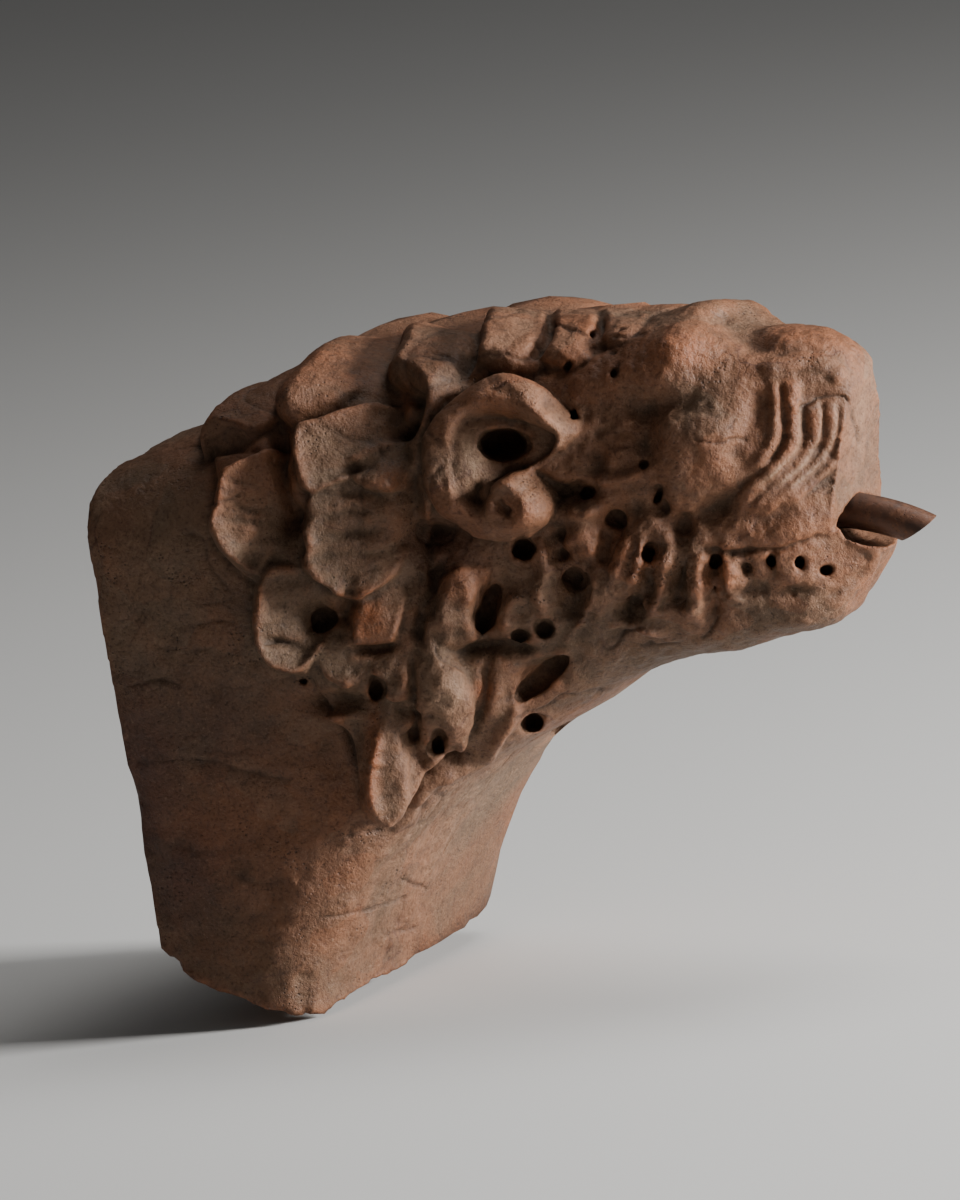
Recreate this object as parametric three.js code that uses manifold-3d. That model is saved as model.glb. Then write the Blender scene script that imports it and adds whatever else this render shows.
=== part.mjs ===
import * as THREE from 'three';
import { mergeVertices } from 'three/addons/utils/BufferGeometryUtils.js';
import Module from 'manifold-3d';

// Lion protome in red nodular marble with an iron bar in its mouth, in millimetres.
// The lion looks along +X, +Z is up, and the wall face lies in X = 0 with the origin near its middle.

// The throat is an arc: sections of neck and head turn about its centre, those of the muzzle stand upright.
const throatCentre = { x: 363, z: -267 };
const throatRadius = 283;
const uprightTurn = 90;
const muzzleStep = 6.3;

// turn: degrees up from the underside; reach: centre to the top of the section; low, high: half widths at the
// throat and at the top; squareLow, squareHigh: how square the section is there.
const neckSections = [
  { turn: 12, reach: 490, low: 126, high: 138, squareLow: 8.0, squareHigh: 8.0 },
  { turn: 22, reach: 506, low: 125, high: 144, squareLow: 8.0, squareHigh: 8.0 },
  { turn: 31, reach: 540, low: 121, high: 154, squareLow: 8.0, squareHigh: 8.0 },
  { turn: 40, reach: 577, low: 116, high: 160, squareLow: 7.5, squareHigh: 7.0 },
  { turn: 47, reach: 584, low: 110, high: 162, squareLow: 6.5, squareHigh: 5.5 },
  { turn: 51, reach: 563, low: 106, high: 160, squareLow: 6.0, squareHigh: 4.2 },
  { turn: 56.5, reach: 544, low: 101, high: 148, squareLow: 5.2, squareHigh: 3.3 },
  { turn: 62, reach: 533, low: 95, high: 132, squareLow: 4.6, squareHigh: 3.0 },
  { turn: 68.7, reach: 509, low: 87, high: 116, squareLow: 3.8, squareHigh: 2.8 },
  { turn: 75, reach: 500, low: 80, high: 104, squareLow: 3.4, squareHigh: 2.7 },
  { turn: 83.7, reach: 487, low: 70, high: 90, squareLow: 3.0, squareHigh: 2.6 },
  { turn: 90, reach: 490, low: 63, high: 79, squareLow: 2.9, squareHigh: 2.5 },
];

// foot: on the chin line; head: on the nose line, both as x and z.
const muzzleSections = [
  { foot: [381, 20], head: [381, 215], low: 58, high: 69, squareLow: 2.8, squareHigh: 2.6 },
  { foot: [399, 24], head: [398, 210], low: 53, high: 60, squareLow: 2.8, squareHigh: 2.8 },
  { foot: [423, 29], head: [423, 208], low: 45, high: 48, squareLow: 2.9, squareHigh: 3.0 },
  { foot: [438, 40], head: [443, 203], low: 33, high: 33, squareLow: 3.0, squareHigh: 3.2 },
  { foot: [453, 57], head: [455, 194], low: 23, high: 25, squareLow: 3.0, squareHigh: 3.2 },
  { foot: [467, 74], head: [461, 182], low: 18, high: 19, squareLow: 3.0, squareHigh: 3.2 },
];

// The nose stands back a little behind the lower lip.
const noseFront = { x: 444, z: 90 };
const noseLean = 12;

// The underside is a break that dips to the front and to the lion's right.
const breakBack = -129;
const breakDip = 0.47;
const breakTilt = 0.1;

// A shell-shaped chip is gone from the lower corner under the right cheek.
const chipRadius = 60;
const chipAt = { x: 128, y: -147, z: -204 };

// Rings of the surface from one turn to another, and columns round it.
const ringPlan = [
  { from: 12, to: 50, rings: 7 },
  { from: 50, to: 78, rings: 9 },
  { from: 78, to: 106.6, rings: 14 },
];
const columns = 32;
const sideShare = 1.15;
const topShare = 0.8;
const throatShare = 0.6;
const outlineSteps = 240;

// The carving is set out on the plane on which the side of the head is best seen: u to the nose, v upwards.
const settingOut = { swing: 28, rise: 14, pitch: 9 };
const facingFrom = -0.06;
const facingFull = 0.14;

// Locks of mane and beard, back row first.
// at: middle; long, wide: half sizes; tip: the way the tip points in degrees; lift: height of the free edge;
// taper: how much the tip is narrower than the root; bend: how far the tip swings aside.
const locks = [
  { at: [20, 164], long: 42, wide: 22, tip: 205, lift: 12, taper: 0.1, bend: 0 },
  { at: [28, 113], long: 43, wide: 50, tip: 174, lift: 17, taper: -0.1, bend: 0.1 },
  { at: [44, 36], long: 32, wide: 28, tip: 195, lift: 15, taper: 0, bend: 0 },
  { at: [74, -29], long: 34, wide: 15, tip: 297, lift: 14, taper: 0.4, bend: 0 },
  { at: [95, -36], long: 44, wide: 14, tip: 268, lift: 16, taper: 0.4, bend: 0 },
  { at: [86, 15], long: 34, wide: 14, tip: 200, lift: 11, taper: 0, bend: 0 },
  { at: [86, 44], long: 34, wide: 20, tip: 212, lift: 13, taper: 0, bend: 0 },
  { at: [84, 87], long: 42, wide: 33, tip: 192, lift: 17, taper: -0.1, bend: 0 },
  { at: [76, 139], long: 42, wide: 29, tip: 183, lift: 17, taper: -0.1, bend: 0 },
  { at: [70, 184], long: 46, wide: 25, tip: 192, lift: 15, taper: 0, bend: 0 },
  { at: [104, 137], long: 36, wide: 16, tip: 206, lift: 15, taper: 0.4, bend: 0 },
  { at: [130, 176], long: 24, wide: 22, tip: 200, lift: 14, taper: 0, bend: 0 },
  { at: [132, 198], long: 41, wide: 22, tip: 192, lift: 16, taper: 0, bend: 0 },
  { at: [175, 209], long: 29, wide: 20, tip: 178, lift: 13, taper: 0, bend: 0 },
  { at: [212, 210], long: 21, wide: 17, tip: 172, lift: 10, taper: 0, bend: 0 },
  { at: [276, 69], long: 27, wide: 10, tip: 252, lift: 8, taper: 0.1, bend: 0.3 },
  { at: [256, 68], long: 30, wide: 10, tip: 252, lift: 9, taper: 0.1, bend: 0.3 },
  { at: [225, 66], long: 34, wide: 13, tip: 250, lift: 10, taper: 0.1, bend: 0.3 },
  { at: [190, 66], long: 34, wide: 11, tip: 268, lift: 9, taper: 0.1, bend: 0 },
  { at: [142, 48], long: 36, wide: 18, tip: 250, lift: 12, taper: 0.2, bend: 0 },
  { at: [128, 6], long: 30, wide: 18, tip: 265, lift: 12, taper: 0.2, bend: 0 },
];
// Locks along the crown: x of the middle, half sizes and lift; their tips point back.
const crownLocks = [
  { x: 42, long: 40, wide: 46, lift: 9 },
  { x: 103, long: 43, wide: 44, lift: 12 },
  { x: 172, long: 36, wide: 40, lift: 12 },
  { x: 231, long: 30, wide: 36, lift: 11 },
  { x: 274, long: 22, wide: 30, lift: 8 },
];
const lockSides = 10;
const lockSquare = 2.3;
const lockRings = [0.78, 1, 0.94];
const lockRim = 0.45;
const lockSunk = 14;
const lockFlat = 0.25;
const farIn = 2;
const farDown = 5;

// Ear: a thick roll that starts at the brow, goes round the back and ends in a curl.
const earRoll = [
  [194, 170], [178, 182], [156, 182], [138, 169], [126, 150], [125, 130], [134, 112], [150, 103], [166, 106],
];
const earRollRadius = 14;
const earRollRaise = 4;
const earSteps = 13;
const earSides = 5;
const earCurl = { at: [170, 114], radius: 15, raise: 5 };
const earFloor = { at: [160, 148], long: 22, wide: 24, deep: 11 };
const earHole = { at: [165, 150], long: 16, wide: 11, deep: 34 };

// Swellings (height above nought) and hollows (below nought) of face and beard.
const swellings = [
  { at: [268, 203], long: 30, wide: 14, tip: 10, height: 5 },
  { at: [287, 148], long: 34, wide: 34, tip: 0, height: 7 },
  { at: [256, 173], long: 32, wide: 9, tip: 4, height: -8 },
  { at: [308, 210], long: 16, wide: 8, tip: -20, height: -4 },
  { at: [314, 166], long: 8, wide: 26, tip: 0, height: -8 },
  { at: [336, 107], long: 32, wide: 16, tip: 12, height: 5 },
  { at: [215, 150], long: 24, wide: 26, tip: 0, height: -6 },
  { at: [110, 105], long: 34, wide: 10, tip: 90, height: -8 },
];

// Snarl: nested folds that come down the side of the nose and swing back along the lip.
const foldFirst = 326;
const foldStep = 12;
const foldCount = 4;
const foldTop = 190;
const foldBend = 152;
const foldFoot = 112;
const foldSwing = 40;
const foldPower = 1.5;
const foldRadius = 6;
const foldSunk = 2;
const foldSteps = 6;
const foldSides = 4;
const endSunk = 7;

// Holes left by the drill.
const drillDepth = 34;
const drillSides = 7;
const drillTaper = 0.8;
const drillHoles = [
  { at: [176, 88], radius: 7 },
  { at: [156, 54], radius: 6 },
  { at: [209, 69], radius: 8 },
  { at: [238, 52], radius: 5.5 },
  { at: [252, 81], radius: 5.5 },
  { at: [270, 66], radius: 5.5 },
  { at: [290, 80], radius: 5 },
  { at: [232, 104], radius: 6.5 },
  { at: [324, 79], radius: 4.5 },
  { at: [341, 78], radius: 4.5 },
  { at: [188, 9], radius: 9 },
  { at: [183, -18], radius: 6 },
  { at: [126, -31], radius: 6.5 },
  { at: [51, 45], radius: 9 },
];

// Mouth: an oval opening in the front between nose and lower lip.
const mouth = { x: 473, z: 96, deep: 40, half: 37, tall: 13.5 };

// Iron bar, set in a drilled hole and bent down; its end is cut on the slant.
const barRadius = 11;
const barSegments = 8;
const barSteps = 8;
const barRoot = { x: 388, z: 99 };
const barBend = { x: 462, z: 100 };
const barEnd = { x: 496, z: 78 };
const barCutAt = { x: 488, z: 82 };
const barCutSlant = -8;
const barGap = 0.3;
const barHoleExtra = 3;

const stoneColour = 0xb48b74;
const ironColour = 0x4a3026;
const beyond = 900;
const ballAround = 11;
const ballRings = 6;
const viewBlend = 0.3;
const leastSlope = 0.7;
const lookFrom = 150;
const crownOff = 0.5;

const wasm = await Module();
wasm.setup();

// Reads one size of the section table at a given turn, smoothly.
function along(table, key, turn) {
  const last = table.length - 1;
  let i = 0;
  while (i < last - 1 && turn > table[i + 1].turn) {
    i += 1;
  }
  const slope = (k) => {
    const a = table[Math.max(k - 1, 0)];
    const b = table[Math.min(k + 1, last)];
    return (b[key] - a[key]) / (b.turn - a.turn);
  };
  const span = table[i + 1].turn - table[i].turn;
  const t = THREE.MathUtils.clamp((turn - table[i].turn) / span, 0, 1);
  const t2 = t * t;
  const t3 = t2 * t;
  return (2 * t3 - 3 * t2 + 1) * table[i][key] + (t3 - 2 * t2 + t) * span * slope(i)
    + (3 * t2 - 2 * t3) * table[i + 1][key] + (t3 - t2) * span * slope(i + 1);
}

// Turned and upright sections as one table: each runs from a foot on the throat to a head on the top.
function sectionTable() {
  const turned = neckSections.map((s) => {
    const a = THREE.MathUtils.degToRad(s.turn);
    return {
      ...s,
      footX: throatCentre.x - throatRadius * Math.cos(a),
      footZ: throatCentre.z + throatRadius * Math.sin(a),
      headX: throatCentre.x - s.reach * Math.cos(a),
      headZ: throatCentre.z + s.reach * Math.sin(a),
    };
  });
  const upright = muzzleSections.map((s) => ({
    ...s,
    turn: uprightTurn + (s.foot[0] - throatCentre.x) / muzzleStep,
    footX: s.foot[0],
    footZ: s.foot[1],
    headX: s.head[0],
    headZ: s.head[1],
  }));
  return [...turned, ...upright];
}

// Half outline of a section as [across, up] pairs, up from -1 at the throat to 1 at the top.
function sectionOutline(get, length, count) {
  const low = get('low');
  const high = get('high');
  const squareLow = get('squareLow');
  const squareHigh = get('squareHigh');
  const raw = [];
  for (let i = 0; i <= outlineSteps; i += 1) {
    const angle = Math.PI * (i / outlineSteps - 0.5);
    const s = Math.sin(angle);
    const square = s < 0 ? squareLow : squareHigh;
    const up = Math.sign(s) * Math.abs(s) ** (2 / square);
    const across = Math.max(Math.cos(angle), 0) ** (2 / square);
    raw.push([across * THREE.MathUtils.lerp(low, high, (up + 1) / 2), up]);
  }
  const run = [0];
  for (let i = 1; i <= outlineSteps; i += 1) {
    const da = raw[i][0] - raw[i - 1][0];
    const db = (raw[i][1] - raw[i - 1][1]) * length / 2;
    const steep = Math.abs(db) / (Math.hypot(da, db) + 1e-9);
    const flatShare = raw[i][1] < 0 ? throatShare : topShare;
    run.push(run[i - 1] + Math.hypot(da, db) * THREE.MathUtils.lerp(flatShare, sideShare, steep));
  }
  const outline = [];
  let j = 0;
  for (let i = 0; i <= count; i += 1) {
    const want = run[outlineSteps] * i / count;
    while (j < outlineSteps - 1 && run[j + 1] < want) {
      j += 1;
    }
    const t = (want - run[j]) / (run[j + 1] - run[j] + 1e-9);
    outline.push([
      THREE.MathUtils.lerp(raw[j][0], raw[j + 1][0], t),
      THREE.MathUtils.lerp(raw[j][1], raw[j + 1][1], t),
    ]);
  }
  return outline;
}

// The block under the carving: a closed cylinder wrapped over the sections.
function block() {
  const table = sectionTable();
  const turns = [ringPlan[0].from];
  for (const part of ringPlan) {
    for (let i = 1; i <= part.rings; i += 1) {
      turns.push(THREE.MathUtils.lerp(part.from, part.to, i / part.rings));
    }
  }
  const half = columns / 2;
  const rings = turns.map((turn) => {
    const get = (key) => along(table, key, turn);
    const foot = new THREE.Vector3(get('footX'), 0, get('footZ'));
    const head = new THREE.Vector3(get('headX'), 0, get('headZ'));
    return { foot, head, outline: sectionOutline(get, foot.distanceTo(head), half) };
  });
  const skin = new THREE.CylinderGeometry(1, 1, 1, columns, turns.length - 1, false);
  const at = skin.attributes.position;
  const p = new THREE.Vector3();
  for (let i = 0; i < at.count; i += 1) {
    const ring = rings[Math.round((0.5 - at.getY(i)) * (turns.length - 1))];
    const centre = Math.hypot(at.getX(i), at.getZ(i)) < 0.5;
    const around = (Math.atan2(at.getX(i), at.getZ(i)) / Math.PI + 2) % 2;
    const step = Math.round(around * half);
    const far = step > half;
    const [across, up] = ring.outline[far ? columns - step : step];
    p.lerpVectors(ring.foot, ring.head, centre ? 0.5 : (up + 1) / 2);
    at.setXYZ(i, p.x, centre ? 0 : across * (far ? 1 : -1), p.z);
  }
  skin.deleteAttribute('normal');
  skin.deleteAttribute('uv');
  return mergeVertices(skin, 1e-3);
}

// Axes of the setting-out plane, and the way out of it towards the viewer.
const swing = THREE.MathUtils.degToRad(settingOut.swing);
const rise = THREE.MathUtils.degToRad(settingOut.rise);
const pitch = THREE.MathUtils.degToRad(settingOut.pitch);
const planeU = new THREE.Vector3(Math.cos(swing), Math.sin(swing), 0);
const planeV = new THREE.Vector3(0, Math.sin(rise), Math.cos(rise));
planeV.applyAxisAngle(new THREE.Vector3(0, 0, 1), swing);
const planeOut = new THREE.Vector3().crossVectors(planeU, planeV);
for (const axis of [planeU, planeV, planeOut]) {
  axis.applyAxisAngle(new THREE.Vector3(0, 1, 0), pitch);
}

// Place of (u, v) along and across an oval shape, as parts of its half sizes.
function within(shape, u, v) {
  const a = THREE.MathUtils.degToRad(shape.tip);
  const du = u - shape.at[0];
  const dv = v - shape.at[1];
  const forth = (du * Math.cos(a) + dv * Math.sin(a)) / shape.long;
  const side = (dv * Math.cos(a) - du * Math.sin(a)) / shape.wide;
  return [forth, side];
}

// Moves the block's surface out to the swellings and in to the hollows, alike on both sides.
function swell(geometry) {
  geometry.computeVertexNormals();
  const at = geometry.attributes.position;
  const out = geometry.attributes.normal;
  const p = new THREE.Vector3();
  const n = new THREE.Vector3();
  for (let i = 0; i < at.count; i += 1) {
    p.set(at.getX(i), -Math.abs(at.getY(i)), at.getZ(i));
    n.set(out.getX(i), -Math.abs(out.getY(i)), out.getZ(i));
    let height = 0;
    for (const shape of swellings) {
      const [forth, side] = within(shape, p.dot(planeU), p.dot(planeV));
      height += shape.height * Math.exp(-(forth * forth + side * side));
    }
    height *= THREE.MathUtils.smoothstep(n.dot(planeOut), facingFrom, facingFull);
    p.fromBufferAttribute(at, i).addScaledVector(n.fromBufferAttribute(out, i), height);
    at.setXYZ(i, p.x, p.y, p.z);
  }
  geometry.computeVertexNormals();
  return geometry;
}

function solid(geometry) {
  const plain = geometry.clone();
  plain.deleteAttribute('normal');
  plain.deleteAttribute('uv');
  const merged = mergeVertices(plain, 1e-3);
  return new wasm.Manifold(new wasm.Mesh({
    numProp: 3,
    vertProperties: new Float32Array(merged.attributes.position.array),
    triVerts: new Uint32Array(merged.index.array),
  }));
}

function geometryOf(body) {
  const mesh = body.getMesh();
  const geometry = new THREE.BufferGeometry();
  geometry.setAttribute('position', new THREE.BufferAttribute(new Float32Array(mesh.vertProperties), 3));
  geometry.setIndex(new THREE.BufferAttribute(new Uint32Array(mesh.triVerts), 1));
  geometry.computeVertexNormals();
  return geometry;
}

function firstHit(geometry, eye, way) {
  return new THREE.Raycaster(eye, way).intersectObject(new THREE.Mesh(geometry))[0];
}

// Looks at a surface from in front of the setting-out plane: gives the point and direction seen at (u, v).
function seenOn(geometry, u, v) {
  const eye = planeOut.clone().multiplyScalar(beyond).addScaledVector(planeU, u).addScaledVector(planeV, v);
  const hit = firstHit(geometry, eye, planeOut.clone().negate());
  if (!hit) {
    throw new Error(`nothing is seen at ${u}, ${v}`);
  }
  return { point: hit.point.clone(), normal: hit.face.normal.clone().lerp(planeOut, viewBlend).normalize() };
}

// Half size on the surface of a length that is drawn on the setting-out plane.
function trueLength(drawn, way) {
  return drawn / Math.max(Math.hypot(way.dot(planeU), way.dot(planeV)), leastSlope);
}

// A lock on the side of the head, at its place on the setting-out plane.
function sideLock(core, lock) {
  const a = THREE.MathUtils.degToRad(lock.tip);
  const spot = seenOn(core, lock.at[0], lock.at[1]);
  const forthWay = planeU.clone().multiplyScalar(Math.cos(a)).addScaledVector(planeV, Math.sin(a));
  forthWay.projectOnPlane(spot.normal).normalize();
  const sideWay = new THREE.Vector3().crossVectors(spot.normal, forthWay);
  const sizes = { ...lock, long: trueLength(lock.long, forthWay), wide: trueLength(lock.wide, sideWay) };
  return lockShell(core, sizes, spot, forthWay, sideWay);
}

// A lock that lies across the middle of the crown.
function crownLock(core, lock) {
  const down = new THREE.Vector3(0, 0, -1);
  const hit = firstHit(core, new THREE.Vector3(lock.x, crownOff, beyond), down);
  const normal = hit.face.normal.clone().setY(0).normalize();
  const sideWay = new THREE.Vector3(0, -1, 0);
  const forthWay = new THREE.Vector3().crossVectors(sideWay, normal);
  const sizes = { ...lock, taper: 0, bend: 0 };
  return lockShell(core, sizes, { point: hit.point, normal }, forthWay, sideWay);
}

// A lock is a low shell laid on the surface, highest along its free edge, its underside sunk in the block.
function lockShell(core, lock, spot, forthWay, sideWay) {
  const shell = new THREE.SphereGeometry(1, lockSides, lockRings.length + 1);
  const at = shell.attributes.position;
  for (let i = 0; i < at.count; i += 1) {
    const fromPole = Math.acos(THREE.MathUtils.clamp(at.getY(i), -1, 1)) / Math.PI;
    const row = Math.round(fromPole * (lockRings.length + 1));
    const out = row === 0 || row > lockRings.length ? 0 : lockRings[row - 1];
    const turn = Math.atan2(-at.getZ(i), at.getX(i));
    const power = Math.abs(Math.cos(turn)) ** lockSquare + Math.abs(Math.sin(turn)) ** lockSquare;
    const round = power ** (-1 / lockSquare);
    const forth = out * round * Math.cos(turn);
    const side = out * round * Math.sin(turn) * (1 - lock.taper * forth) + lock.bend * forth * forth;
    let height = lock.lift * (lockFlat + (1 - lockFlat) * (forth + 1) / 2);
    if (row === lockRings.length - 1) {
      height *= lockRim;
    }
    if (row >= lockRings.length) {
      height = -lockSunk;
    }
    const p = spot.point.clone().addScaledVector(forthWay, forth * lock.long);
    p.addScaledVector(sideWay, side * lock.wide);
    const eye = p.clone().addScaledVector(spot.normal, lookFrom);
    const hit = firstHit(core, eye, spot.normal.clone().negate());
    if (hit) {
      p.copy(hit.point);
    }
    p.addScaledVector(spot.normal, height);
    at.setXYZ(i, p.x, p.y, p.z);
  }
  return solid(shell);
}

// A round roll that follows a row of (u, v) places over the surface; its ends dive into it.
function rollOn(core, places, radius, raise, dives, steps, sides) {
  const last = places.length - 1;
  const points = places.map(([u, v], i) => {
    const spot = seenOn(core, u, v);
    const dive = i === 0 || i === last ? dives : 0;
    return spot.point.addScaledVector(spot.normal, raise - dive);
  });
  const round = new THREE.Shape().absarc(0, 0, radius, 0, Math.PI * 2);
  const path = new THREE.CatmullRomCurve3(points);
  return solid(new THREE.ExtrudeGeometry(round, { steps, curveSegments: sides, extrudePath: path }));
}

// Places down one fold of the snarl.
function foldPlaces(index) {
  const places = [];
  for (let i = 0; i <= foldSteps; i += 1) {
    const v = THREE.MathUtils.lerp(foldTop, foldFoot, i / foldSteps);
    const below = Math.max(0, (foldBend - v) / (foldBend - foldFoot));
    places.push([foldFirst + index * foldStep - foldSwing * below ** foldPower, v]);
  }
  return places;
}

// A shape whose own Y axis is turned to the way out of the surface at (u, v).
function setInto(core, geometry, place) {
  const spot = seenOn(core, place[0], place[1]);
  const holder = new THREE.Object3D();
  holder.position.copy(spot.point);
  holder.quaternion.setFromUnitVectors(new THREE.Vector3(0, 1, 0), spot.normal);
  holder.updateMatrix();
  return solid(geometry.clone().applyMatrix4(holder.matrix));
}

// Drops the specks of closed air that overlapping locks can leave between them.
function largest(body) {
  return body.decompose().reduce((a, b) => (b.volume() > a.volume() ? b : a));
}

// The far side is carved alike and stands a little lower, so that the near locks make the skyline.
function bothSides(body) {
  return body.add(body.mirror([0, 1, 0]).translate([0, -farIn, -farDown]));
}

function lionStone() {
  const core = swell(block());
  let mane = rollOn(core, earRoll, earRollRadius, earRollRaise, endSunk, earSteps, earSides);
  const curl = new THREE.SphereGeometry(earCurl.radius, ballAround, ballRings).translate(0, earCurl.raise, 0);
  mane = mane.add(setInto(core, curl, earCurl.at));
  for (const lock of locks) {
    mane = mane.add(sideLock(core, lock));
  }
  let face = rollOn(core, foldPlaces(0), foldRadius, -foldSunk, endSunk, foldSteps, foldSides);
  for (let i = 1; i < foldCount; i += 1) {
    face = face.add(rollOn(core, foldPlaces(i), foldRadius, -foldSunk, endSunk, foldSteps, foldSides));
  }
  const ball = new THREE.SphereGeometry(1, ballAround, ballRings);
  const floor = ball.clone().scale(earFloor.long, earFloor.deep, earFloor.wide);
  const hole = ball.clone().scale(earHole.long, earHole.deep, earHole.wide);
  const conch = setInto(core, floor, earFloor.at).add(setInto(core, hole, earHole.at));
  let stone = solid(core).add(bothSides(mane)).add(face).subtract(bothSides(conch));
  for (const lock of crownLocks) {
    stone = stone.add(crownLock(core, lock));
  }
  for (const place of drillHoles) {
    const drill = new THREE.CylinderGeometry(place.radius, place.radius * drillTaper, drillDepth, drillSides);
    stone = stone.subtract(setInto(core, drill, place.at));
  }
  const nose = new THREE.BoxGeometry(beyond, beyond, beyond).translate(beyond / 2, 0, beyond / 2);
  nose.rotateY(THREE.MathUtils.degToRad(noseLean)).translate(noseFront.x, 0, noseFront.z);
  const opening = ball.clone().scale(mouth.deep, mouth.half, mouth.tall);
  opening.translate(mouth.x, 0, mouth.z);
  const wall = new THREE.BoxGeometry(beyond, beyond, beyond).translate(-beyond / 2, 0, 0);
  const under = new THREE.BoxGeometry(beyond, beyond, beyond).translate(0, 0, -beyond / 2);
  under.rotateY(Math.atan(breakDip)).rotateX(Math.atan(breakTilt)).translate(0, 0, breakBack);
  const chip = ball.clone().scale(chipRadius, chipRadius, chipRadius).translate(chipAt.x, chipAt.y, chipAt.z);
  const socket = barAlong(barRadius + barGap, barHoleExtra);
  for (const away of [nose, opening, socket, wall, under, chip]) {
    stone = stone.subtract(solid(away));
  }
  return largest(stone);
}

// The bar as a round swept along its bend; extra lengthens it at the root.
function barAlong(radius, extra) {
  const round = new THREE.Shape().absarc(0, 0, radius, 0, Math.PI * 2);
  const path = new THREE.QuadraticBezierCurve3(
    new THREE.Vector3(barRoot.x - extra, 0, barRoot.z),
    new THREE.Vector3(barBend.x, 0, barBend.z),
    new THREE.Vector3(barEnd.x, 0, barEnd.z),
  );
  return new THREE.ExtrudeGeometry(round, { steps: barSteps, curveSegments: barSegments, extrudePath: path });
}

function ironBar() {
  const cutter = new THREE.BoxGeometry(beyond, beyond, beyond).translate(beyond / 2, 0, 0);
  cutter.rotateY(THREE.MathUtils.degToRad(barCutSlant)).translate(barCutAt.x, 0, barCutAt.z);
  return solid(barAlong(barRadius, 0)).subtract(solid(cutter));
}

const group = new THREE.Group();
const stoneMesh = new THREE.Mesh(
  geometryOf(lionStone()),
  new THREE.MeshStandardMaterial({ color: stoneColour, roughness: 0.7, metalness: 0 }),
);
stoneMesh.name = 'lion_stone';
const barMesh = new THREE.Mesh(
  geometryOf(ironBar()),
  new THREE.MeshStandardMaterial({ color: ironColour, roughness: 0.75, metalness: 0.6 }),
);
barMesh.name = 'iron_bar';
group.add(stoneMesh, barMesh);

export default group;
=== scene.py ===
import math

import bpy
import numpy as np
from mathutils import Matrix, Vector
from mathutils.bvhtree import BVHTree


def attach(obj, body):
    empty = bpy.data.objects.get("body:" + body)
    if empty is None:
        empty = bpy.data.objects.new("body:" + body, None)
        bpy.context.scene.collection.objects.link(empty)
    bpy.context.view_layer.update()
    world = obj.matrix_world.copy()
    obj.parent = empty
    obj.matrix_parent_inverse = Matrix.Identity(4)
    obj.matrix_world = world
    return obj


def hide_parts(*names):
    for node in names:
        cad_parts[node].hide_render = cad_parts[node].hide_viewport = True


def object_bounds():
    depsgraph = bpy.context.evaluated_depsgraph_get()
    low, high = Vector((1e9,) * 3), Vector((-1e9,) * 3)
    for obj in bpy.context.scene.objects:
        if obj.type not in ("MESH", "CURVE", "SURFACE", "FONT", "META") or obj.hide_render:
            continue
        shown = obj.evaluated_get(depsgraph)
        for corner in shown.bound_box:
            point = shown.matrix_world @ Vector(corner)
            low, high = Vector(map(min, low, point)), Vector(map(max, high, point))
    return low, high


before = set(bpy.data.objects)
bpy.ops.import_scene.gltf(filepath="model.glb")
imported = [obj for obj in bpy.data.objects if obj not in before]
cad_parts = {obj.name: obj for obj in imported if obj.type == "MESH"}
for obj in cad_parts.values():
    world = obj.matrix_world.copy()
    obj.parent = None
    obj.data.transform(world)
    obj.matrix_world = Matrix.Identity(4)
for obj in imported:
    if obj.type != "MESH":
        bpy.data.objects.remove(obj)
cadLow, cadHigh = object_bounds()
mm = 0.001  # the carving is worked out in millimetres, the scene is in metres

# Setting-out plane of the carving: u runs to the nose, v upwards, out towards the viewer.
layout = {"swing": 28, "rise": 14, "pitch": 9}


def layoutAxes():
    swing, rise, pitch = (math.radians(layout[key]) for key in ("swing", "rise", "pitch"))
    along = Vector((math.cos(swing), math.sin(swing), 0))
    up = Vector((-math.sin(rise) * math.sin(swing), math.sin(rise) * math.cos(swing), math.cos(rise)))
    turn = Matrix.Rotation(pitch, 3, "Y")
    along, up = turn @ along, turn @ up
    return np.array(along), np.array(up), np.array(along.cross(up))


axisU, axisV, axisOut = layoutAxes()


def smoothStep(low, high, x):
    t = np.clip((x - low) / (high - low), 0, 1)
    return t * t * (3 - 2 * t)


def lattice(points, size, seed):
    # smooth random field between -1 and 1 with lumps of about this size
    q = points / size + seed * 7.31
    cell = np.floor(q).astype(np.int64)
    f = q - cell
    f = f * f * f * (f * (f * 6 - 15) + 10)
    total = np.zeros(len(points))
    for corner in range(8):
        step = np.array([corner & 1, corner >> 1 & 1, corner >> 2 & 1])
        place = cell + step
        n = place[:, 0] * 73856093 ^ place[:, 1] * 19349663 ^ place[:, 2] * 83492791 ^ seed * 2654435761
        n = (n ^ n >> 13) * 1274126177 & 0xFFFFFFFF
        value = ((n ^ n >> 16) & 0xFFFF) / 32767.5 - 1
        total += value * np.prod(np.where(step == 1, f, 1 - f), axis=1)
    return total


def lumps(points, size, seed, layers=3):
    total = np.zeros(len(points))
    for i in range(layers):
        total += lattice(points, size / 2 ** i, seed + i) / 2 ** i
    return total


def smoothLine(points, closed=False, steps=7):
    # round curve through a few points
    p = np.array(points, float)
    count = len(p)
    spans = count if closed else count - 1
    t = (np.arange(steps) / steps)[:, None]
    out = []
    for i in range(spans):
        if closed:
            a, b, c, d = p[i - 1], p[i], p[(i + 1) % count], p[(i + 2) % count]
        else:
            a, b, c, d = p[max(i - 1, 0)], p[i], p[i + 1], p[min(i + 2, count - 1)]
        out.append(b + 0.5 * t * (c - a + t * (2 * a - 5 * b + 4 * c - d + t * (3 * (b - c) + d - a))))
    out.append(p[:1] if closed else p[-1:])
    return np.vstack(out)


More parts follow.
